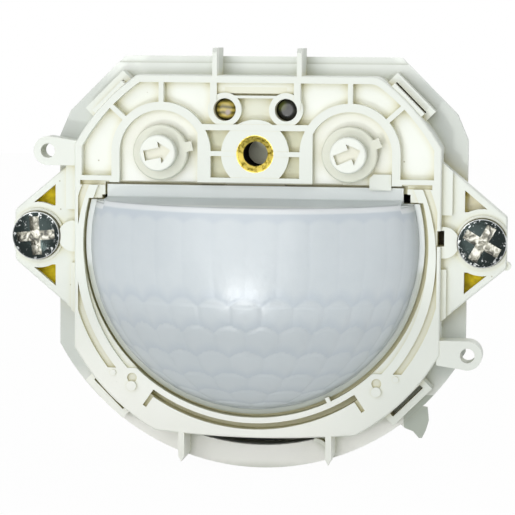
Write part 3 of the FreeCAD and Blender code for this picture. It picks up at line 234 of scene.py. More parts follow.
@dataclass(frozen=True)
class Relief:
    """Fine unevenness, such as a tool's grain, waves of a melt or scratches."""

    pitch_mm: float
    depth_mm: float
    strength: float
    detail: float = 2.0
    distortion: float = 0.0

    def draw(self, tree: Tree, place: Socket) -> tuple[Socket, Socket]:
        """Add the unevenness.

        Args:
            tree: the material's tree.
            place: object coordinates.

        Returns:
            Its height, and the normal that it bends.
        """
        noise = add_node(tree, "ShaderNodeTexNoise",
                         {"Scale": 1 / (self.pitch_mm * MM), "Detail": self.detail,
                          "Distortion": self.distortion}, {"Vector": place})
        bump = add_node(tree, "ShaderNodeBump",
                        {"Strength": self.strength, "Distance": self.depth_mm * MM},
                        {"Height": noise.outputs["Fac"]})
        return noise.outputs["Fac"], bump.outputs["Normal"]


@dataclass(frozen=True)
class Zone:
    """A stretch of a piece with a tone of its own, mostly painted light or shade, with its limits
    in millimetres.

    It lies behind or before a level h in front of the wall, and across it in a ring round a
    centre or in a box of x and z.
    """

    tone: str
    behind_h: float = OPEN_MM
    before_h: float = -OPEN_MM
    centre_x: float = 0.0
    centre_z: float = 0.0
    inner_r: float = 0.0
    outer_r: float = OPEN_MM
    left_x: float = -OPEN_MM
    right_x: float = OPEN_MM
    low_z: float = -OPEN_MM
    high_z: float = OPEN_MM
    blur: float = 0.08
    share: float = 1.0

    def layer(self, tree: Tree, place: Socket) -> tuple[str, Socket]:
        """Find where the zone lies.

        Args:
            tree: the material's tree.
            place: object coordinates.

        Returns:
            The tone, and a socket that is the zone's share inside it and 0 outside.
        """
        axes = add_node(tree, "ShaderNodeSeparateXYZ", links={"Vector": place})
        known = dict(zip("xyz", axes.outputs))
        steps = [("dx", "SUBTRACT", "x", self.centre_x * MM),
                 ("dz", "SUBTRACT", "z", self.centre_z * MM),
                 ("dx2", "MULTIPLY", "dx", "dx"),
                 ("r2", "MULTIPLY_ADD", "dz", "dz", "dx2"),
                 ("r", "SQRT", "r2"),
                 ("h", "MULTIPLY", "y", -1.0)]
        limits = (("h", self.behind_h, -1.0), ("h", self.before_h, 1.0),
                  ("r", self.outer_r, -1.0), ("r", self.inner_r, 1.0),
                  ("x", self.right_x, -1.0), ("x", self.left_x, 1.0),
                  ("z", self.high_z, -1.0), ("z", self.low_z, 1.0))
        part = None
        for i, (name, limit, sign) in enumerate(limits):
            if abs(limit) == OPEN_MM or (name == "r" and limit == 0.0):
                continue
            steps += [(f"a{i}", "SUBTRACT", name, limit * MM),
                      (f"b{i}", "MULTIPLY CLAMPED", f"a{i}", sign / (self.blur * MM))]
            if part:
                steps.append((f"c{i}", "MULTIPLY", part, f"b{i}"))
            part = f"c{i}" if part else f"b{i}"
        steps.append(("all", "MULTIPLY", part, self.share))
        return self.tone, run_recipe(tree, known, tuple(steps))["all"]


@dataclass(frozen=True)
class MouldedPlastic(Finish):
    """Injection-moulded plastic: even body, painted shade in its hollows, tool grain, dust specks.

    Ambient occlusion paints khaki shade into hollows and crevices, as a body that scatters light
    looks there, instead of grey. A real tool's grain is about 0.05 mm and would vanish in a
    picture, so the grain here is coarser.
    """

    body: str
    shade_and_mottle: str
    crevice_shade: str = ""
    speck: str = "8C8150"
    gloss: Gloss = Gloss.EVEN
    smoother: float = 0.05
    rougher: float = 0.07
    shade_reach_mm: float = 1.6
    shade_from: float = 0.35
    shade_to: float = 0.85
    crevice_shade_from: float = 0.15
    crevice_shade_to: float = 0.5
    mottle_mm: float = 9.0
    mottle_from: float = 0.35
    mottle_to: float = 0.7
    mottle_share: float = 0.1
    grain_mm: float = 0.25
    grain_depth_mm: float = 0.006
    speck_pitch_mm: float = 2.3
    speck_r_mm: float = 0.07
    speck_blur: float = 0.03
    speck_share: float = 0.6
    specks_above: float = 0.66
    zones: tuple[Zone, ...] = ()

    def draw(self, tree: Tree, place: Socket) -> tuple[dict, dict]:
        """Add zones, painted shade in hollows and crevices, mottle, specks and grain.

        Args:
            tree: the material's tree.
            place: object coordinates.

        Returns:
            The shader's values, and the sockets that feed it, by input name.
        """
        occlusion_shade = add_node(tree, "ShaderNodeAmbientOcclusion",
                           {"samples": 8, "Distance": self.shade_reach_mm * MM}).outputs["AO"]
        mottle = add_node(tree, "ShaderNodeTexNoise",
                          {"Scale": 1 / (self.mottle_mm * MM), "Detail": 3.0},
                          {"Vector": place}).outputs["Fac"]
        dots = add_node(tree, "ShaderNodeTexVoronoi",
                        {"Scale": 1 / (self.speck_pitch_mm * MM)}, {"Vector": place})
        chosen = run_recipe(tree, {"cell": dots.outputs["Color"]},
                            (("chosen", "GREATER_THAN", "cell", self.specks_above),))["chosen"]
        reach = self.speck_r_mm / self.speck_pitch_mm
        layers = [zone.layer(tree, place) for zone in self.zones]
        # Painted shade: ambient occlusion lays the khaki tones into hollows and crevices; the same
        # tone also mottles the body at random.
        for tone, source, low, high, at_low, at_high, where in (
                (self.shade_and_mottle, occlusion_shade, self.shade_from, self.shade_to, 1.0, 0.0, None),
                (self.crevice_shade, occlusion_shade, self.crevice_shade_from, self.crevice_shade_to, 1.0, 0.0, None),
                (self.shade_and_mottle, mottle, self.mottle_from, self.mottle_to, 0.0, self.mottle_share,
                 None),
                (self.speck, dots.outputs["Distance"], reach, reach + self.speck_blur,
                 self.speck_share, 0.0, chosen)):
            if not tone:
                continue
            share = add_node(tree, "ShaderNodeMapRange",
                             {"From Min": low, "From Max": high, "To Min": at_low,
                              "To Max": at_high}, {"Value": source}).outputs["Result"]
            if where:
                share = run_recipe(tree, {"share": share, "where": where},
                                   (("kept", "MULTIPLY", "share", "where"),))["kept"]
            layers.append((tone, share))
        normal = Relief(self.grain_mm, self.grain_depth_mm, strength=0.35).draw(tree, place)[1]
        rough = add_node(tree, "ShaderNodeMapRange",
                         {"To Min": self.gloss.value - self.smoother,
                          "To Max": self.gloss.value + self.rougher}, {"Value": mottle})
        return {"IOR": 1.53}, {"Base Color": layered(tree, self.body, layers),
                               "Normal": normal, "Roughness": rough.outputs["Result"]}


@dataclass(frozen=True)
class MilkyPlastic(Finish):
    """Moulded milky plastic: light enters and scatters, so it looks cool and waxy.

    Between its facets lies bluish painted shade in the creases, and along its cut edge a painted
    highlight makes a paler lip.
    """

    body: str
    cloud: str
    roughness: float
    scatter_mm: float
    wave_mm: float
    wave_depth_mm: float
    cloud_waves: float = 3.0
    scatter: float = 0.3
    crease: str = "B3BFCB"
    lip: str = "E2E8EA"
    zones: tuple[Zone, ...] = ()

    def draw(self, tree: Tree, place: Socket) -> tuple[dict, dict]:
        """Add clouds, zones, the painted crease shade, the painted lip highlight and the waxy
        unevenness.

        Args:
            tree: the material's tree.
            place: object coordinates.

        Returns:
            The shader's values, and the sockets that feed it, by input name.
        """
        cloud = add_node(tree, "ShaderNodeTexNoise",
                         {"Scale": 1 / (self.cloud_waves * self.wave_mm * MM), "Detail": 2.0},
                         {"Vector": place})
        layers = [(self.cloud, cloud.outputs["Fac"])]
        layers += [zone.layer(tree, place) for zone in self.zones]
        # Painted shade in the creases and a painted highlight on the lip, read from the facets'
        # attributes.
        for name, tone in (("crease", self.crease), ("lip", self.lip)):
            mark = add_node(tree, "ShaderNodeAttribute", {"attribute_name": name})
            layers.append((tone, mark.outputs["Fac"]))
        waves = Relief(self.wave_mm, self.wave_depth_mm, strength=0.5, detail=3.0)
        return ({"Roughness": self.roughness, "IOR": 1.51, "Subsurface Weight": self.scatter,
                 "Subsurface Radius": (1.0, 1.0, 1.0),
                 "Subsurface Scale": self.scatter_mm * MM},
                {"Base Color": layered(tree, self.body, layers),
                 "Normal": waves.draw(tree, place)[1]})


@dataclass(frozen=True)
class PlatedMetal(Finish):
    """Plated or turned metal: a soft mirror with stained patches and fine scratches.

    Real scratches are a few hundredths of a millimetre wide, and these are coarser so as to show.
    """

    bright: str
    stained: str
    roughness: float = 0.34
    patch_mm: float = 1.2
    scratch_mm: float = 0.2
    stain_from: float = 0.45
    stain_to: float = 0.65
    metallic: float = 1.0
    polished: float = 0.8
    scratched: float = 1.5
    zones: tuple[Zone, ...] = ()
    bore_shade: Zone | None = None

    def draw(self, tree: Tree, place: Socket) -> tuple[dict, dict]:
        """Add patches, zones, scratches and the painted shade that doesn't shine.

        Args:
            tree: the material's tree.
            place: object coordinates.

        Returns:
            The shader's values, and the sockets that feed it, by input name.
        """
        patches = add_node(tree, "ShaderNodeTexNoise",
                           {"Scale": 1 / (self.patch_mm * MM), "Detail": 5.0, "Distortion": 0.4},
                           {"Vector": place})
        stain = add_node(tree, "ShaderNodeMapRange",
                         {"From Min": self.stain_from, "From Max": self.stain_to},
                         {"Value": patches.outputs["Fac"]})
        layers = [(self.stained, stain.outputs["Result"])]
        layers += [zone.layer(tree, place) for zone in self.zones]
        scratches = Relief(self.scratch_mm, depth_mm=0.01, strength=0.3, distortion=1.5)
        height, normal = scratches.draw(tree, place)
        rough = add_node(tree, "ShaderNodeMapRange",
                         {"To Min": self.roughness * self.polished,
                          "To Max": self.roughness * self.scratched}, {"Value": height})
        feeds = {"Roughness": rough.outputs["Result"], "Normal": normal}
        # Painted shade: this zone darkens the colour and takes the metal's shine away.
        if self.bore_shade:
            layers.append(self.bore_shade.layer(tree, place))
            made = run_recipe(tree, {"soot": layers[-1][1]}, (
                ("metal", "SUBTRACT", 1.0, "soot"),
                ("shine", "MULTIPLY", "metal", 0.5)))
            feeds |= {"Metallic": made["metal"], "Specular IOR Level": made["shine"]}
        feeds["Base Color"] = layered(tree, self.bright, layers)
        return {"Metallic": self.metallic}, feeds


@dataclass(frozen=True)
class DrivenScrew(Finish):
    """Nickel-plated cold-headed screw: a polished dome, painted dark as the room it mirrors,
    with painted sparkles and a pressed cross that catches the light as a painted reflection.

    The cross's painted reflection lies in cream and dark streaks side by side.
    """

    dome: str
    sparkle: str
    cross_reflection_stops: tuple
    edge: str
    shank: str
    seat_h_mm: float
    screw_x_mm: float
    face_h_mm: float
    head_r_mm: float
    streak_mm: float = 0.8
    sparkle_mm: float = 0.5
    sparkle_from: float = 0.73
    sparkle_gain: float = 14.0
    edge_mm: float = 0.1
    edge_gain: float = 0.2
    cross_paint_share: float = 0.7
    roughness: float = 0.2

    def draw(self, tree: Tree, place: Socket) -> tuple[dict, dict]:
        """Add the dome, its painted sparkles, the bright edge, the cross's painted reflection and
        the shank.

        Args:
            tree: the material's tree.
            place: object coordinates.

        Returns:
            The shader's values, and the sockets that feed it, by input name.
        """
        axes = add_node(tree, "ShaderNodeSeparateXYZ", links={"Vector": place})
        spots = add_node(tree, "ShaderNodeTexNoise",
                         {"Scale": 1 / (self.sparkle_mm * MM), "Detail": 3.0, "Distortion": 0.8},
                         {"Vector": place})
        streaks = Relief(self.streak_mm, depth_mm=0.05, strength=0.5, detail=4.0, distortion=1.2)
        streak, normal = streaks.draw(tree, place)
        edge_in = (self.head_r_mm - self.edge_mm) * MM
        known = {**dict(zip("xyz", axes.outputs)), "spot": spots.outputs["Fac"]}
        # Where the painted sparkles lie, more towards the rim, and where the cross's painted
        # reflection lies.
        made = run_recipe(tree, known, (
            ("ax", "ABSOLUTE", "x"),
            ("dx", "SUBTRACT", "ax", self.screw_x_mm * MM),
            ("dx2", "MULTIPLY", "dx", "dx"),
            ("r2", "MULTIPLY_ADD", "z", "z", "dx2"),
            ("r", "SQRT", "r2"),
            ("out", "DIVIDE", "r", self.head_r_mm * MM),
            ("out2", "MULTIPLY", "out", "out"),
            ("lit", "MULTIPLY_ADD", "out2", self.edge_gain, "spot"),
            ("far", "SUBTRACT", "lit", self.sparkle_from),
            ("glint", "MULTIPLY CLAMPED", "far", self.sparkle_gain),
            ("rim", "GREATER_THAN", "r", edge_in),
            ("sunk", "GREATER_THAN", "y", -self.face_h_mm * MM),
            ("within", "LESS_THAN", "r", edge_in),
            ("ahead", "LESS_THAN", "y", -self.seat_h_mm * MM),
            ("inside", "MULTIPLY", "sunk", "within"),
            ("cross", "MULTIPLY", "inside", "ahead"),
            ("shank", "SUBTRACT", 1.0, "ahead"),
            ("metal", "MULTIPLY_ADD", "cross", -self.cross_paint_share, 1.0)))
        # Painted reflection: the cross in streaky cream and dark, with most of its metal shine
        # taken away.
        cross_reflection = add_node(tree, "ShaderNodeValToRGB", {"ramp": self.cross_reflection_stops}, {"Fac": streak})
        colour = layered(tree, self.dome, [
            (self.sparkle, made["glint"]), (self.edge, made["rim"]),
            (cross_reflection.outputs["Color"], made["cross"]), (self.shank, made["shank"])])
        return ({"Roughness": self.roughness},
                {"Base Color": colour, "Normal": normal, "Metallic": made["metal"]})


@dataclass(frozen=True)
class BandedResin(Finish):
    """Cast resin of a small sensor: bands of two tones and a spot."""

    light: str
    dark: str
    spot: Zone
    band_mm: float
    roughness: float = 0.3

    def draw(self, tree: Tree, place: Socket) -> tuple[dict, dict]:
        """Add bands and the spot.

        Args:
            tree: the material's tree.
            place: object coordinates.

        Returns:
            The shader's values, and the sockets that feed it, by input name.
        """
        bands = add_node(tree, "ShaderNodeTexWave",
                         {"bands_direction": "Z", "Scale": WAVE_BAND / (self.band_mm * MM),
                          "Distortion": 3.0, "Detail": 2.0, "Detail Scale": 2.0},
                         {"Vector": place})
        layers = [(self.light, bands.outputs["Fac"]), self.spot.layer(tree, place)]
        return ({"Roughness": self.roughness, "IOR": 1.55},
                {"Base Color": layered(tree, self.dark, layers)})


# Tones for single places: painted shade in gaps, pockets and recesses, painted light on floors
# and lower parts, a painted reflection on the strap, and spots on the small sensors.
# Painted shade: the frame's seat round the lower lens edge in dark olive, where the gap to the lens
# lies in shade.
LENS_SEAT_SHADE = Zone("5F6350", behind_h=6.45, centre_x=-0.35, centre_z=-0.7, outer_r=23.3,
                 high_z=-4.0, blur=0.6)
# Painted light: the recessed floors between the ribs paler than the ribs.
RIBBED_FLOOR_LIGHT = Zone("F7F9F4", behind_h=6.3, before_h=4.9, left_x=-24.0, right_x=24.0, blur=0.5)
# Painted shade: khaki in the pockets of the block above the lens, lighter in the upper pocket.
BLOCK_POCKET_SHADE = (Zone("CCCEB4", behind_h=6.2, left_x=-7.5, right_x=7.1, low_z=7.7, high_z=15.2),
                 Zone("E2E4D5", behind_h=6.2, left_x=-4.4, right_x=4.0, low_z=15.2, high_z=20.3))
# Painted shade: a dark olive line under the block, where the gap to the lens tab lies in shade.
JOINT_SHADE = Zone("6B6436", behind_h=6.9, before_h=3.0, left_x=-18.5, right_x=11.5, low_z=7.0,
                   high_z=7.62, share=0.75)
# Painted shade: the lens roof darker and greyer than its rim.
LENS_ROOF_SHADE = Zone("C2CACC", before_h=6.5, low_z=4.9)
# Painted shade: the lower rim of the lens darker olive, where it meets the frame.
LENS_RIM_SHADE = Zone("A6AC9B", centre_x=-0.35, centre_z=-0.7, inner_r=21.6, high_z=-3.0, blur=1.3)
# Painted shade: a khaki line along the lens tab's top edge, at the gap under the block.
LENS_TOP_GAP_SHADE = Zone("605C3A", low_z=7.08, blur=0.05)
# Painted light: the frame paler towards its lower left.
FRAME_FOOT_LIGHT = Zone("F6F8F1", high_z=-6.0, right_x=20.0, blur=14.0)
# Painted light: the flange whiter towards its bottom.
FLANGE_FOOT_LIGHT = Zone("FFFFFB", high_z=-18.0, blur=5.0)
# Painted light: the flange paler along its top.
FLANGE_TOP_LIGHT = Zone("F2F6F1", low_z=20.5, blur=2.5)
# Painted shade: the tooth at the flange's lower right darker grey.
TOOTH_SHADE = Zone("B6BDB3", low_z=-30.0, high_z=-21.0, left_x=19.5, before_h=0.2, inner_r=30.4)
KNOB_DISC = Zone("E4E8E0", before_h=7.9, blur=0.2)
# Painted shade and light in the knobs' arrow recesses: khaki on the walls, a paler floor.
ARROW_RECESS_SHADING = tuple(Zone(tone, behind_h=h, centre_x=x, centre_z=11.52, outer_r=2.35, blur=0.1)
               for x in (-12.85, 12.45) for tone, h in (("ABA77C", 9.44), ("ECEDDF", 8.8)))
# On the strap: a painted pale reflection in the upper right window, painted shade where the right
# slit looks down onto it, and a small pale spot in the upper left window.
STRAP_REFLECTION_SHADE_AND_SPOT = (Zone("FBF8E4", centre_x=29.4, centre_z=5.0, outer_r=2.3, blur=0.9, share=0.85),
                Zone("3A3318", left_x=22.0, right_x=25.4, low_z=-1.6, high_z=2.8),
                Zone("D9D9C6", centre_x=-26.6, centre_z=6.7, outer_r=0.9, blur=0.4))
# Painted shade: the insert's bore black and without shine.
INSERT_BORE_SHADE = Zone("2F2E2B", behind_h=6.2, centre_x=-0.2, centre_z=11.42, outer_r=2.2)
PALE_SPOT = Zone("A7988C", centre_x=-4.0, centre_z=16.9, outer_r=0.5, blur=0.3)
OLIVE_SPOT = Zone("565C2C", centre_x=3.0, centre_z=17.9, outer_r=1.0, blur=0.6)

# Warm white from an etched tool: matt, with painted khaki shade in the hollows and crevices.
FRAME_ABS = MouldedPlastic("Moulded ABS, warm white", "E1E6DF", "DEDDC6", "C4BE90",
                           zones=(FRAME_FOOT_LIGHT, RIBBED_FLOOR_LIGHT, *BLOCK_POCKET_SHADE, LENS_SEAT_SHADE,
                                  JOINT_SHADE))
# A greyer white, partly painted shade, and duller, so that the flange stands back behind the frame.
FLANGE_ABS = MouldedPlastic("Moulded ABS, grey white", "D2D7D2", "C8CCBF", gloss=Gloss.DULL,
                            zones=(FLANGE_TOP_LIGHT, FLANGE_FOOT_LIGHT, TOOTH_SHADE))
# Plain grey walls without shine, as on any part that goes into the wall.
HOUSING_ABS = MouldedPlastic("Moulded ABS, pale grey", "D6D9D2", "BDBDA8", gloss=Gloss.DULL)
# A thick milky rim and roof: waxy, with painted shade on the roof and lower rim, and a khaki line
# of painted shade where it meets the block above.
LENS_PE = MilkyPlastic("Moulded polyethylene, milky", "D8DFDF", "DEE3E2", roughness=0.3,
                       scatter_mm=1.2, wave_mm=1.6, wave_depth_mm=0.04,
                       zones=(LENS_ROOF_SHADE, LENS_RIM_SHADE, LENS_TOP_GAP_SHADE))
# The thin dome shows the dark room behind it: bluer and darker than the rim, with a soft gleam.
FACET_PE = MilkyPlastic("Moulded polyethylene, facetted", "C5CED3", "CCD4D8", roughness=0.27,
                        scatter_mm=1.2, wave_mm=0.9, wave_depth_mm=0.035)
# Uncoloured polyamide: greener and deeper than the frame; arrows in painted shade and light.
KNOB_PA = MilkyPlastic("Moulded polyamide, translucent", "D2D5C8", "D9DBCB", roughness=0.34,
                       scatter_mm=0.8, wave_mm=0.8, wave_depth_mm=0.02,
                       zones=(KNOB_DISC, *ARROW_RECESS_SHADING))
# The passivation is a matt film: a strong yellow without a mirror, with a painted reflection,
# painted shade and a pale spot on it.
STRAP_ZINC = PlatedMetal("Yellow-passivated zinc on steel", "F2DA08", "C2A908", roughness=0.62,
                         patch_mm=1.4, scratch_mm=0.25, metallic=0.0, zones=STRAP_REFLECTION_SHADE_AND_SPOT)
# Turned and tarnished: gold speckled with olive round a bore in painted black shade.
INSERT_BRASS = PlatedMetal("Turned brass", "DCC763", "7B6B1E", patch_mm=0.45, bore_shade=INSERT_BORE_SHADE)
# Polished nickel mirrors the dark room as a painted dark dome, and the cross lies bright in it as
# a painted reflection.
SCREW_NICKEL = DrivenScrew("Nickel plate on steel", dome="2B3231", sparkle="CDD0CF",
                           cross_reflection_stops=((0.37, "3B3B34"), (0.5, "8E8C7D"), (0.64, "D6D5CB")),
                           edge="B7BAB9", shank="B4B6B6", seat_h_mm=4.85, screw_x_mm=30.0,
                           face_h_mm=6.12, head_r_mm=3.23)
# The metals inside: a drawn can with a broad gleam, and grey, gold and red small parts.
CAN_NICKEL = PlatedMetal("Nickel-plated steel can", "C9C8C2", "A5A49C", roughness=0.25,
                         patch_mm=3.0, scratch_mm=0.3)
ZINC_STEEL = PlatedMetal("Zinc-plated steel", "C2C4C4", "93968F")
TINNED_BRASS = PlatedMetal("Tinned brass", "CDBE8E", "A8935C")
COPPER_WIRE = PlatedMetal("Lacquered copper wire", "B5683A", "8A4A26", roughness=0.3,
                          patch_mm=1.5, scratch_mm=0.3)
# Nearly black boards, painted dark as shade, so that openings in front of them look deep.
BOARD_MASK_DARK_AS_SHADE = MouldedPlastic("Solder mask on glass-fibre laminate", "0F150F", "060806",
                            speck="55532E", gloss=Gloss.DULL, mottle_mm=4.0)
# A dark violet mirror.
FILTER_SILICON = MilkyPlastic("Coated silicon filter", "26222A", "2E2A33", roughness=0.12,
                              scatter_mm=0.1, wave_mm=2.0, wave_depth_mm=0.005, scatter=0.0)
# Dull dark cases with pale rotors, so that a screwdriver's slot would show.
TRIMMER_PBT = MouldedPlastic("Moulded PBT, dark", "4B4E48", "23241F", gloss=Gloss.DULL)
ROTOR_PBT = MouldedPlastic("Moulded PBT, pale", "CFC8B2", "8F8A70")
# The parts behind the windows: glassy resin with olive bands, one golden and one nearly black.
LED_RESIN = BandedResin("Cast resin, olive and gold", "C2AF57", "5E571C", PALE_SPOT, band_mm=0.8)
LDR_RESIN = BandedResin("Cast resin, dark with an olive side", "2B2D29", "17191B", OLIVE_SPOT,
                        band_mm=1.1)
# The mains side: each part in the plastic, sleeve or dip that such parts have.
RELAY_PBT = MouldedPlastic("Moulded PBT, black", "2B2B2D", "121213", gloss=Gloss.DULL)
FILM_PP = MouldedPlastic("Moulded polypropylene, yellow", "C7A73A", "8B7120")
CAN_SLEEVE = MouldedPlastic("Shrunk PVC sleeve, dark blue", "1C2236", "0C0F1A", gloss=Gloss.SATIN)
FERRITE = MouldedPlastic("Sintered ferrite", "39383A", "19191A", gloss=Gloss.DULL, grain_mm=0.12)
FUSE_PA = MouldedPlastic("Moulded polyamide, brown", "3D2D24", "1A120D")
VARISTOR_EPOXY = MouldedPlastic("Dipped epoxy, blue", "25508C", "122848", gloss=Gloss.SATIN)
STRIP_PBT = MouldedPlastic("Moulded PBT strip, black", "202022", "0D0D0E", gloss=Gloss.DULL)
TERMINAL_PA = MouldedPlastic("Moulded polyamide, light grey", "A9ABA9", "6C6E6B")


def new_tree(name: str, inputs: tuple[str, ...]) -> tuple[Tree, dict]:
    """Start a Geometry Nodes tree with named size inputs.

    Args:
        name: name of the tree.
        inputs: names of its sizes.

    Returns:
        The tree, and its inputs' sockets by name.
    """
    tree = bpy.data.node_groups.new(name, "GeometryNodeTree")
    for size in inputs:
        tree.interface.new_socket(name=size, in_out="INPUT", socket_type="NodeSocketFloat")
    tree.interface.new_socket(name="Geometry", in_out="OUTPUT", socket_type="NodeSocketGeometry")
    source = add_node(tree, "NodeGroupInput")
    return tree, {size: source.outputs[size] for size in inputs}


def finished_piece(tree: Tree, geometry: Socket, material: bpy.types.Material, name: str,
                   sizes: dict[str, float]) -> bpy.types.Object:
    """End a Geometry Nodes tree, run it once and keep its result as a plain mesh.

    Args:
        tree: the tree.
        geometry: what it has made.
        material: finish of the result.
        name: name of the piece.
        sizes: values of the tree's named inputs.

    Returns:
        The finished piece, at the origin and without modifiers.
    """
    real = add_node(tree, "GeometryNodeRealizeInstances", links={"Geometry": geometry})
    finished = add_node(tree, "GeometryNodeSetMaterial", {"Material": material},
                        {"Geometry": real.outputs["Geometry"]})
    add_node(tree, "NodeGroupOutput", links={"Geometry": finished.outputs["Geometry"]})
    piece = bpy.data.objects.new(name, bpy.data.meshes.new(name))
    bpy.context.scene.collection.objects.link(piece)
    modifier = piece.modifiers.new("shape", "NODES")
    modifier.node_group = tree
    for item in tree.interface.items_tree:
        if item.item_type == "SOCKET" and item.in_out == "INPUT":
            modifier[item.identifier] = sizes[item.name]
    graph = bpy.context.evaluated_depsgraph_get()
    plain = bpy.data.meshes.new_from_object(piece.evaluated_get(graph), depsgraph=graph)
    piece.modifiers.clear()
    piece.data = plain
    plain.name = name
    return piece


@dataclass
class Workshop:
    """Keeps the loaded frame and makes each finish once."""

    frame: dict
    made: dict = field(default_factory=dict)

    def finish(self, kind: Finish) -> bpy.types.Material:
        """Material of a finish.

        Args:
            kind: the finish.

        Returns:
            Its material, made on first use.
        """
        if kind.name not in self.made:
            self.made[kind.name] = kind.build()
        return self.made[kind.name]

    def dress(self, node: str, kind: Finish) -> None:
        """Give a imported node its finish.

        Args:
            node: name of the node.
            kind: the finish.
        """
        for place in self.frame["nodes"][node].material_slots:
            place.material = self.finish(kind)
        LOG.info("%s: %s", node, kind.name)


@dataclass
class Spiral:
    """A round bar wound into a spiral along Y, such as a thread's ridge or a winding."""

    name: str
    finish: Finish
    x_mm: float
    z_mm: float
    start_h_mm: float
    length_mm: float
    turn_mm: float
    radius_mm: float
    bar_mm: float

    def build(self, shop: Workshop) -> bpy.types.Object:
        """Wind the spiral.

        Args:
            shop: gives the finish.

        Returns:
            The finished piece.
        """
        sizes = {"Turns": self.length_mm / self.turn_mm, "Radius": self.radius_mm * MM,
                 "Length": self.length_mm * MM, "Bar": self.bar_mm * MM, "X": self.x_mm * MM,
                 "Y": -self.start_h_mm * MM, "Z": self.z_mm * MM}
        tree, size = new_tree(self.name, tuple(sizes))
        line = add_node(tree, "GeometryNodeCurveSpiral", {"Resolution": 24},
                        {"Rotations": size["Turns"], "Start Radius": size["Radius"],
                         "End Radius": size["Radius"], "Height": size["Length"]})
        bar = add_node(tree, "GeometryNodeCurvePrimitiveCircle", {"Resolution": 6},
                       {"Radius": size["Bar"]})
        wound = add_node(tree, "GeometryNodeCurveToMesh", {"Fill Caps": True},
                         {"Curve": line.outputs["Curve"], "Profile Curve": bar.outputs["Curve"]})
        place = add_node(tree, "ShaderNodeCombineXYZ",
                         links={axis: size[axis] for axis in "XYZ"})
        laid = add_node(tree, "GeometryNodeTransform", {"Rotation": (-math.pi / 2, 0.0, 0.0)},
                        {"Geometry": wound.outputs["Mesh"], "Translation": place.outputs["Vector"]})
        piece = finished_piece(tree, laid.outputs["Geometry"], shop.finish(self.finish), self.name,
                               sizes)
        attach(piece, DETECTOR)
        LOG.info("%s: %s", self.name, self.finish.name)
        return piece


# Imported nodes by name, each with its finish.
Parts = tuple[tuple[str, Finish], ...]


@dataclass
class SubAssembly:
    """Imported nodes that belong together."""

    parts: Parts = ()

    def build(self, shop: Workshop) -> None:
        """Dress the parts."""
        for node, kind in self.parts:
            shop.dress(node, kind)


@dataclass
class WallMounting(SubAssembly):
    """Flange, steel strap and the two box screws with their threads."""

    parts: Parts = (
        ("mounting_flange", FLANGE_ABS), ("mounting_strap", STRAP_ZINC),
        ("box_screw_left", SCREW_NICKEL), ("box_screw_right", SCREW_NICKEL))
    screw_x_mm: float = 30.0
    thread_r_mm: float = 1.5
    thread_bar_mm: float = 0.22
    thread_pitch_mm: float = 0.95
    thread_start_h_mm: float = -0.6
    thread_length_mm: float = 18.8

    def build(self, shop: Workshop) -> None:
        """Dress the mounting and roll the threads.

        Args:
            shop: gives the finishes.
        """
        super().build(shop)
        for side, name in ((-1, "left"), (1, "right")):
            ridge = Spiral(f"screw_thread_{name}", ZINC_STEEL, side * self.screw_x_mm, 0.0,
                           self.thread_start_h_mm, self.thread_length_mm, self.thread_pitch_mm,
                           self.thread_r_mm, self.thread_bar_mm)
            ridge.build(shop)


# Where a point of the flat grid lies on the dome, and between which rows of facets.
LENS_RECIPE = (
    ("phi", "MULTIPLY", "x", math.pi),
    ("down", "SUBTRACT", 0.5, "y"),
    ("cos_phi", "COSINE", "phi"),
    ("sin_phi", "SINE", "phi"),
    ("side", "ABSOLUTE", "phi"),
    ("beside", "GREATER_THAN", "side", "Shoulder from"),
    ("arch", "MULTIPLY_ADD", "cos_phi", "Roof fall", "Roof"),
    ("roof", "MULTIPLY_ADD", "beside", "Shoulder", "arch"),
    ("roof_share", "DIVIDE", "roof", "Radius"),
    ("tilt", "ARCSINE", "roof_share"),
    ("first", "MULTIPLY", "tilt", -1.0),
    ("span", "SUBTRACT", math.pi / 2, "first"),
    ("theta", "MULTIPLY_ADD", "span", "down", "first"),
    ("cos_theta", "COSINE", "theta"),
    ("sin_theta", "SINE", "theta"),
    ("past", "SUBTRACT", "theta", "First row"),
    ("v", "DIVIDE", "past", "Row step"),
    ("v_floor", "FLOOR", "v"),
    ("row_a", "MAXIMUM", "v_floor", -1.0),
    ("row_b", "ADD", "row_a", 1.0),
    ("v_first", "SUBTRACT", "first", "First row"),
    ("v_roof", "DIVIDE", "v_first", "Row step"),
)

# Where the point lies across a facet of one row, and how far that facet's top bulges.
FACET_ROW_RECIPE = (
    ("mid", "ADD", "row", 0.5),
    ("lat", "MULTIPLY_ADD", "mid", "Row step", "First row"),
    ("slim", "COSINE", "lat"),
    ("parity", "FLOORED_MODULO", "row", 2.0),
    ("even", "SUBTRACT", 1.0, "parity"),
    ("scaled", "MULTIPLY", "phi", "slim"),
    ("count", "DIVIDE", "scaled", "Pitch"),
    ("placed", "MULTIPLY_ADD", "even", 0.5, "count"),
    ("part", "FRACT", "placed"),
    ("u", "SUBTRACT", "part", 0.5),
    ("u2", "MULTIPLY", "u", "u"),
    ("arc", "MULTIPLY_ADD", "u2", -4.0, 1.0),
    ("bulge", "MULTIPLY", "arc", "Arc"),
    ("top", "SUBTRACT", "row", "bulge"),
)

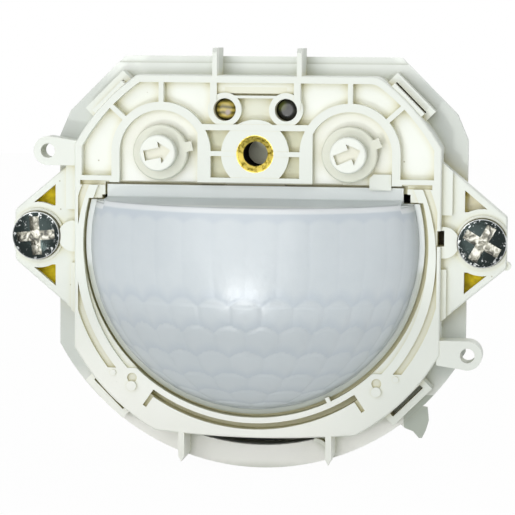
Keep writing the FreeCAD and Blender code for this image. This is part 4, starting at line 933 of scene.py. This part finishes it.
# How far the point stands out, and how much painted crease shade and lip highlight it gets.
FACET_RECIPE = (
    ("next", "GREATER_THAN", "v", "top_b"),
    ("keep", "SUBTRACT", 1.0, "next"),
    ("u_1", "MULTIPLY", "u_a", "keep"),
    ("u", "MULTIPLY_ADD", "u_b", "next", "u_1"),
    ("is_strip", "LESS_THAN", "row_a", -0.5),
    ("lid_a", "ADD", "v_roof", "Strip top"),
    ("lid", "MULTIPLY_ADD", "bulge_a", -0.5, "lid_a"),
    ("lid_part", "MULTIPLY", "lid", "is_strip"),
    ("not_strip", "SUBTRACT", 1.0, "is_strip"),
    ("head_a", "MULTIPLY_ADD", "top_a", "not_strip", "lid_part"),
    ("head_1", "MULTIPLY", "head_a", "keep"),
    ("head", "MULTIPLY_ADD", "top_b", "next", "head_1"),
    ("run", "SUBTRACT", "v", "head"),
    ("ramp", "DIVIDE CLAMPED", "run", "Step"),
    ("u_side", "ABSOLUTE", "u"),
    ("wall_a", "SUBTRACT", 0.5, "u_side"),
    ("wall", "DIVIDE CLAMPED", "wall_a", "Wall"),
    ("flat", "MULTIPLY", "ramp", "wall"),
    ("u_sq", "MULTIPLY", "u", "u"),
    ("dome", "MULTIPLY_ADD", "u_sq", "Crown", 1.0),
    ("fallen", "MULTIPLY", "run", "run"),
    ("tiled", "MULTIPLY", "fallen", "not_strip"),
    ("slope", "MULTIPLY_ADD", "tiled", "Fall", 1.0),
    ("level", "MULTIPLY", "dome", "slope"),
    ("relief_a", "MULTIPLY", "level", "flat"),
    ("soft", "MULTIPLY_ADD", "is_strip", "Strip", 1.0),
    ("relief", "MULTIPLY", "relief_a", "soft"),
    # Painted shade: the walls' gaps, the valley above each lower row and the strips' bare parts
    # mark the creases.
    ("near", "SUBTRACT", "top_b", "v"),
    ("clear", "DIVIDE CLAMPED", "near", "Valley"),
    ("low", "SUBTRACT", 1.0, "clear"),
    ("valley", "MULTIPLY", "low", "keep"),
    ("gap_a", "SUBTRACT", 1.0, "wall"),
    ("gap_b", "MULTIPLY", "gap_a", "Groove"),
    ("gap", "MAXIMUM", "gap_b", "valley"),
    ("bare", "SUBTRACT", 1.0, "ramp"),
    ("bare_strip", "MULTIPLY", "bare", "is_strip"),
    ("mark", "MAXIMUM", "gap", "bare_strip"),
    ("crease", "MULTIPLY", "mark", "Crease"),
    # Painted highlight: a pale band along the dome's top edge.
    ("lip_a", "DIVIDE", "down", "Lip"),
    ("lip", "SUBTRACT CLAMPED", "Lip reach", "lip_a"),
    ("x_side", "ABSOLUTE", "x"),
    ("y_side", "ABSOLUTE", "y"),
    ("out", "MAXIMUM", "x_side", "y_side"),
    ("rim", "SUBTRACT", 0.5, "out"),
    ("fade", "MULTIPLY CLAMPED", "rim", "Fade"),
    ("high", "MULTIPLY", "relief", "Depth"),
    ("front", "MULTIPLY", "high", "fade"),
    ("back", "MULTIPLY", "fade", "Inset"),
)

# The point in space, moved off the dome by an offset.
SHELL_RECIPE = (
    ("wide", "ADD", "Radius", "offset"),
    ("deep", "ADD", "Rise", "offset"),
    ("x_share", "MULTIPLY", "cos_theta", "sin_phi"),
    ("X", "MULTIPLY_ADD", "x_share", "wide", "Centre X"),
    ("y_share", "MULTIPLY", "cos_theta", "cos_phi"),
    ("proud", "MULTIPLY", "y_share", "deep"),
    ("Y", "SUBTRACT", "Rim Y", "proud"),
    ("sunk", "MULTIPLY", "sin_theta", "wide"),
    ("Z", "SUBTRACT", "Centre Z", "sunk"),
)


@dataclass
class DomeLens(SubAssembly):
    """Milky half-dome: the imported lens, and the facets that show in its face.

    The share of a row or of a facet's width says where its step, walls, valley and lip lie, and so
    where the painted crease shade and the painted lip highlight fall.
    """

    parts: Parts = (("lens", LENS_PE),)
    centre_x_mm: float = -0.35
    centre_z_mm: float = -0.7
    radius_mm: float = 22.03
    rise_mm: float = 8.53
    rim_h_mm: float = 5.9
    roof_mm: float = 6.17
    roof_fall_mm: float = 0.667
    shoulder_mm: float = 0.45
    shoulder_from_rad: float = 1.18
    facet_pitch_deg: float = 10.8
    first_row_deg: float = 19.7
    row_step_deg: float = 10.7
    inset_mm: float = 0.25
    depth_mm: float = 0.1
    arc: float = 0.3
    crown: float = 2.6
    fall: float = 0.45
    step: float = 0.14
    wall: float = 0.07
    valley: float = 0.4
    groove: float = 0.18
    crease: float = 0.45
    strip_top: float = 0.47
    strip_share: float = 0.32
    lip_highlight_share: float = 0.0075
    lip_reach: float = 3.2
    fade: float = 45.0
    columns: int = 230
    rows: int = 170

    def sizes(self) -> dict[str, float]:
        """Sizes of the facet tree by input name."""
        return {
            "Radius": self.radius_mm * MM, "Rise": self.rise_mm * MM,
            "Roof": self.roof_mm * MM, "Roof fall": -self.roof_fall_mm * MM,
            "Shoulder": -self.shoulder_mm * MM, "Shoulder from": self.shoulder_from_rad,
            "Centre X": self.centre_x_mm * MM, "Centre Z": self.centre_z_mm * MM,
            "Rim Y": -self.rim_h_mm * MM, "Inset": -self.inset_mm * MM,
            "Depth": self.depth_mm * MM, "Pitch": math.radians(self.facet_pitch_deg),
            "First row": math.radians(self.first_row_deg),
            "Row step": math.radians(self.row_step_deg), "Arc": self.arc, "Crown": -self.crown,
            "Fall": -self.fall, "Step": self.step, "Wall": self.wall, "Valley": self.valley,
            "Groove": self.groove, "Crease": self.crease, "Strip top": self.strip_top,
            "Strip": self.strip_share - 1.0, "Lip": self.lip_highlight_share, "Lip reach": self.lip_reach,
            "Fade": self.fade,
        }

    def shell(self, tree: Tree, grid: Socket, known: dict, offset: str) -> Socket:
        """Bend the grid into the dome's face.

        Args:
            tree: the facet tree.
            grid: flat grid.
            known: sockets by name.
            offset: which named height stands off the dome.

        Returns:
            The bent grid.
        """
        made = run_recipe(tree, {**known, "offset": known[offset]}, SHELL_RECIPE)
        point = add_node(tree, "ShaderNodeCombineXYZ",
                         links={axis: made[axis] for axis in "XYZ"})
        bent = add_node(tree, "GeometryNodeSetPosition",
                        links={"Geometry": grid, "Position": point.outputs["Vector"]})
        return bent.outputs["Geometry"]

    def facets(self, shop: Workshop) -> bpy.types.Object:
        """Make the facetted face: long strips above, rows of scales below.

        Args:
            shop: gives the finish.

        Returns:
            The finished piece.
        """
        sizes = self.sizes()
        tree, size = new_tree("lens facets", tuple(sizes))
        grid = add_node(tree, "GeometryNodeMeshGrid",
                        {"Size X": 1.0, "Size Y": 1.0, "Vertices X": self.columns,
                         "Vertices Y": self.rows}).outputs["Mesh"]
        place = add_node(tree, "GeometryNodeInputPosition")
        axes = add_node(tree, "ShaderNodeSeparateXYZ", links={"Vector": place.outputs["Position"]})
        known = run_recipe(tree, {**size, "x": axes.outputs["X"], "y": axes.outputs["Y"]},
                           LENS_RECIPE)
        for row in ("a", "b"):
            made = run_recipe(tree, {**known, "row": known[f"row_{row}"]}, FACET_ROW_RECIPE)
            known.update({f"{name}_{row}": made[name] for name in ("u", "bulge", "top")})
        known = run_recipe(tree, known, FACET_RECIPE)
        marked = grid
        # Keep the painted crease shade and lip highlight as attributes for the finish.
        for name in ("crease", "lip"):
            marked = add_node(tree, "GeometryNodeStoreNamedAttribute",
                              {"data_type": "FLOAT", "domain": "POINT", "Name": name},
                              {"Geometry": marked, "Value": known[name]}).outputs["Geometry"]
        front = self.shell(tree, marked, known, "front")
        back = self.shell(tree, marked, known, "back")
        flipped = add_node(tree, "GeometryNodeFlipFaces", links={"Mesh": back})
        both = add_node(tree, "GeometryNodeJoinGeometry", links={"Geometry": front})
        tree.links.new(flipped.outputs["Mesh"], both.inputs["Geometry"])
        closed = add_node(tree, "GeometryNodeMergeByDistance", {"Distance": 0.002 * MM},
                          {"Geometry": both.outputs["Geometry"]})
        smooth = add_node(tree, "GeometryNodeSetShadeSmooth", {"Shade Smooth": True},
                          {"Geometry": closed.outputs["Geometry"]})
        piece = finished_piece(tree, smooth.outputs["Geometry"], shop.finish(FACET_PE),
                               "lens_facets", sizes)
        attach(piece, DETECTOR)
        LOG.info("lens_facets: %d faces", len(piece.data.polygons))
        return piece

    def build(self, shop: Workshop) -> None:
        """Dress the lens and lay its facets."""
        super().build(shop)
        self.facets(shop)


@dataclass
class FrontFrame(SubAssembly):
    """Ribbed front moulding with its brass insert."""

    parts: Parts = (("front_frame", FRAME_ABS), ("threaded_insert", INSERT_BRASS))


@dataclass
class Adjusters(SubAssembly):
    """The two turning adjusters and the trimmers behind them."""

    parts: Parts = (
        ("knob_time", KNOB_PA), ("knob_light", KNOB_PA),
        ("trimmer_time_case", TRIMMER_PBT), ("trimmer_light_case", TRIMMER_PBT),
        ("trimmer_time_rotor", ROTOR_PBT), ("trimmer_light_rotor", ROTOR_PBT))


@dataclass
class SensorBoard(SubAssembly):
    """Front board with the infrared sensor and the parts behind the two windows."""

    parts: Parts = (
        ("sensor_board", BOARD_MASK_DARK_AS_SHADE), ("pir_header", CAN_NICKEL), ("pir_can", CAN_NICKEL),
        ("pir_window", FILTER_SILICON), ("indicator_led", LED_RESIN),
        ("light_sensor", LDR_RESIN), ("board_header", STRIP_PBT))


@dataclass
class MainsUnit(SubAssembly):
    """Rear housing, power board and terminals, with the choke's winding as real turns."""

    parts: Parts = (
        ("rear_housing", HOUSING_ABS), ("power_board", BOARD_MASK_DARK_AS_SHADE), ("relay", RELAY_PBT),
        ("film_capacitor", FILM_PP), ("electrolytic_capacitor", CAN_SLEEVE),
        ("choke", FERRITE), ("fuse", FUSE_PA), ("varistor", VARISTOR_EPOXY),
        ("board_socket", STRIP_PBT), ("terminal_block", TERMINAL_PA),
        ("terminal_clamps", TINNED_BRASS), ("terminal_screws", ZINC_STEEL))
    choke_x_mm: float = 16.6
    choke_z_mm: float = 5.0
    wire_mm: float = 0.38
    winding_mm: float = 3.1
    winding_front_h_mm: float = -11.5
    winding_length_mm: float = 5.6

    def build(self, shop: Workshop) -> None:
        """Dress the unit and wind the choke.

        Args:
            shop: gives the finishes.
        """
        super().build(shop)
        turns = Spiral("choke_turns", COPPER_WIRE, self.choke_x_mm, self.choke_z_mm,
                       self.winding_front_h_mm, self.winding_length_mm, self.wire_mm * 2,
                       self.winding_mm, self.wire_mm).build(shop)
        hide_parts("choke_winding")


@dataclass
class Lamp:
    """One soft square lamp that faces the object."""

    name: str
    place: tuple[float, float, float]
    size: float
    watts: float

    def build(self) -> None:
        """Hang the lamp."""
        data = bpy.data.lights.new(self.name, "AREA")
        data.size = self.size
        data.energy = self.watts
        lamp = bpy.data.objects.new(self.name, data)
        bpy.context.scene.collection.objects.link(lamp)
        lamp.location = self.place
        lamp.rotation_mode = "QUATERNION"
        lamp.rotation_quaternion = (-Vector(self.place)).to_track_quat("-Z", "Y")


@dataclass
class Studio:
    """Pale floor, white surroundings, soft lamps, and the camera at the photograph's angle."""

    azimuth: float = 7.865
    elevation: float = 5.305
    roll: float = 0.379
    distance_mm: float = 341.3
    aim_x_mm: float = -0.68
    aim_z_mm: float = -2.98
    focal_px: float = 2512.7
    image_px: float = 515.0
    sensor_mm: float = 36.0
    floor_half_width: float = 0.8
    floor_front: float = 0.075
    floor_back: float = 0.8
    floor_white: float = 0.975
    ambient: float = 0.5
    lamps: tuple[Lamp, ...] = (
        Lamp("key from upper left", (-0.22, -0.34, 0.26), size=0.18, watts=0.22),
        Lamp("front", (-0.11, -0.6, 0.05), size=0.4, watts=1.3),
        Lamp("fill from right", (0.6, -0.5, 0.2), size=0.4, watts=0.35),
        Lamp("low front", (-0.078, -0.46, -0.17), size=0.035, watts=0.42),
        Lamp("rear top", (0.2, 0.6, 0.5), size=0.4, watts=1.4),
    )

    def camera(self) -> None:
        """Stand the camera where the photograph was taken from."""
        data = bpy.data.cameras.new("camera")
        data.sensor_width = self.sensor_mm
        data.lens = self.focal_px / self.image_px * self.sensor_mm
        data.clip_start = 0.01
        data.clip_end = 20.0
        camera = bpy.data.objects.new("camera", data)
        bpy.context.scene.collection.objects.link(camera)
        a = math.radians(self.azimuth)
        e = math.radians(self.elevation)
        back = Vector((math.sin(a) * math.cos(e), -math.cos(a) * math.cos(e), math.sin(e)))
        aim = Vector((self.aim_x_mm * MM, 0.0, self.aim_z_mm * MM))
        camera.location = aim + back * self.distance_mm * MM
        camera.rotation_mode = "QUATERNION"
        roll = Quaternion(back, math.radians(self.roll))
        camera.rotation_quaternion = roll @ (-back).to_track_quat("-Z", "Y")
        bpy.context.scene.camera = camera

    def seen(self, tree: Tree) -> Socket:
        """Where the camera, or a mirror or glass in front of it, looks straight at a surface.

        Args:
            tree: tree of the surroundings or of the floor.

        Returns:
            A socket that is 1 for such rays and 0 for light.
        """
        path = add_node(tree, "ShaderNodeLightPath")
        known = {name: path.outputs[name]
                 for name in ("Is Camera Ray", "Is Glossy Ray", "Is Transmission Ray")}
        return run_recipe(tree, known, (
            ("shown", "MAXIMUM", "Is Camera Ray", "Is Glossy Ray"),
            ("all", "MAXIMUM", "shown", "Is Transmission Ray")))["all"]

    def world(self) -> None:
        """Light softly from all round, and show plain white behind the object."""
        world = bpy.data.worlds.new("surroundings")
        world.use_nodes = True
        tree = world.node_tree
        tree.nodes.clear()
        soft = add_node(tree, "ShaderNodeBackground",
                        {"Color": linear("FFFFFF"), "Strength": self.ambient})
        white = add_node(tree, "ShaderNodeBackground", {"Color": linear("FFFFFF"), "Strength": 1.0})
        mix = add_node(tree, "ShaderNodeMixShader",
                       links={0: self.seen(tree), 1: soft.outputs[0], 2: white.outputs[0]})
        add_node(tree, "ShaderNodeOutputWorld", links={"Surface": mix.outputs[0]})
        bpy.context.scene.world = world

    def floor(self, height: float) -> None:
        """Lay the pale floor, which keeps the object's shadow.

        Args:
            height: level of the floor in metres.
        """
        mesh = bpy.data.meshes.new("floor")
        half, front, back = self.floor_half_width, -self.floor_front, self.floor_back
        mesh.from_pydata([(-half, front, height), (half, front, height), (half, back, height),
                          (-half, back, height)], [], [(0, 1, 2, 3)])
        material = bpy.data.materials.new("Plain white sheet")
        material.use_nodes = True
        tree = material.node_tree
        tree.nodes.clear()
        part = run_recipe(tree, {"seen": self.seen(tree)},
                          (("part", "MULTIPLY", "seen", self.floor_white),))["part"]
        sheet = add_node(tree, "ShaderNodeBsdfDiffuse", {"Color": linear("F2F2F0")})
        white = add_node(tree, "ShaderNodeEmission", {"Color": linear("FFFFFF"), "Strength": 1.0})
        mix = add_node(tree, "ShaderNodeMixShader",
                       links={0: part, 1: sheet.outputs[0], 2: white.outputs[0]})
        add_node(tree, "ShaderNodeOutputMaterial", links={"Surface": mix.outputs[0]})
        mesh.materials.append(material)
        floor = bpy.data.objects.new("floor", mesh)
        bpy.context.scene.collection.objects.link(floor)
        floor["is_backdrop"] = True

    def build(self, floor_height: float) -> None:
        """Set up the whole studio.

        Args:
            floor_height: level of the floor in metres.
        """
        self.camera()
        self.world()
        self.floor(floor_height)
        for lamp in self.lamps:
            lamp.build()
        bpy.context.scene.view_settings.view_transform = "Standard"


def main() -> None:
    """Build the scene."""
    logging.basicConfig(level=logging.INFO, format="%(name)s: %(message)s")
    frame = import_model()
    cad = [list(corner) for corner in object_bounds()]
    Studio().build(cad[0][2])
    shop = Workshop(frame)
    for unit in (WallMounting(), FrontFrame(), DomeLens(), Adjusters(), SensorBoard(), MainsUnit()):
        unit.build(shop)


if __name__ == "__main__":
    main()
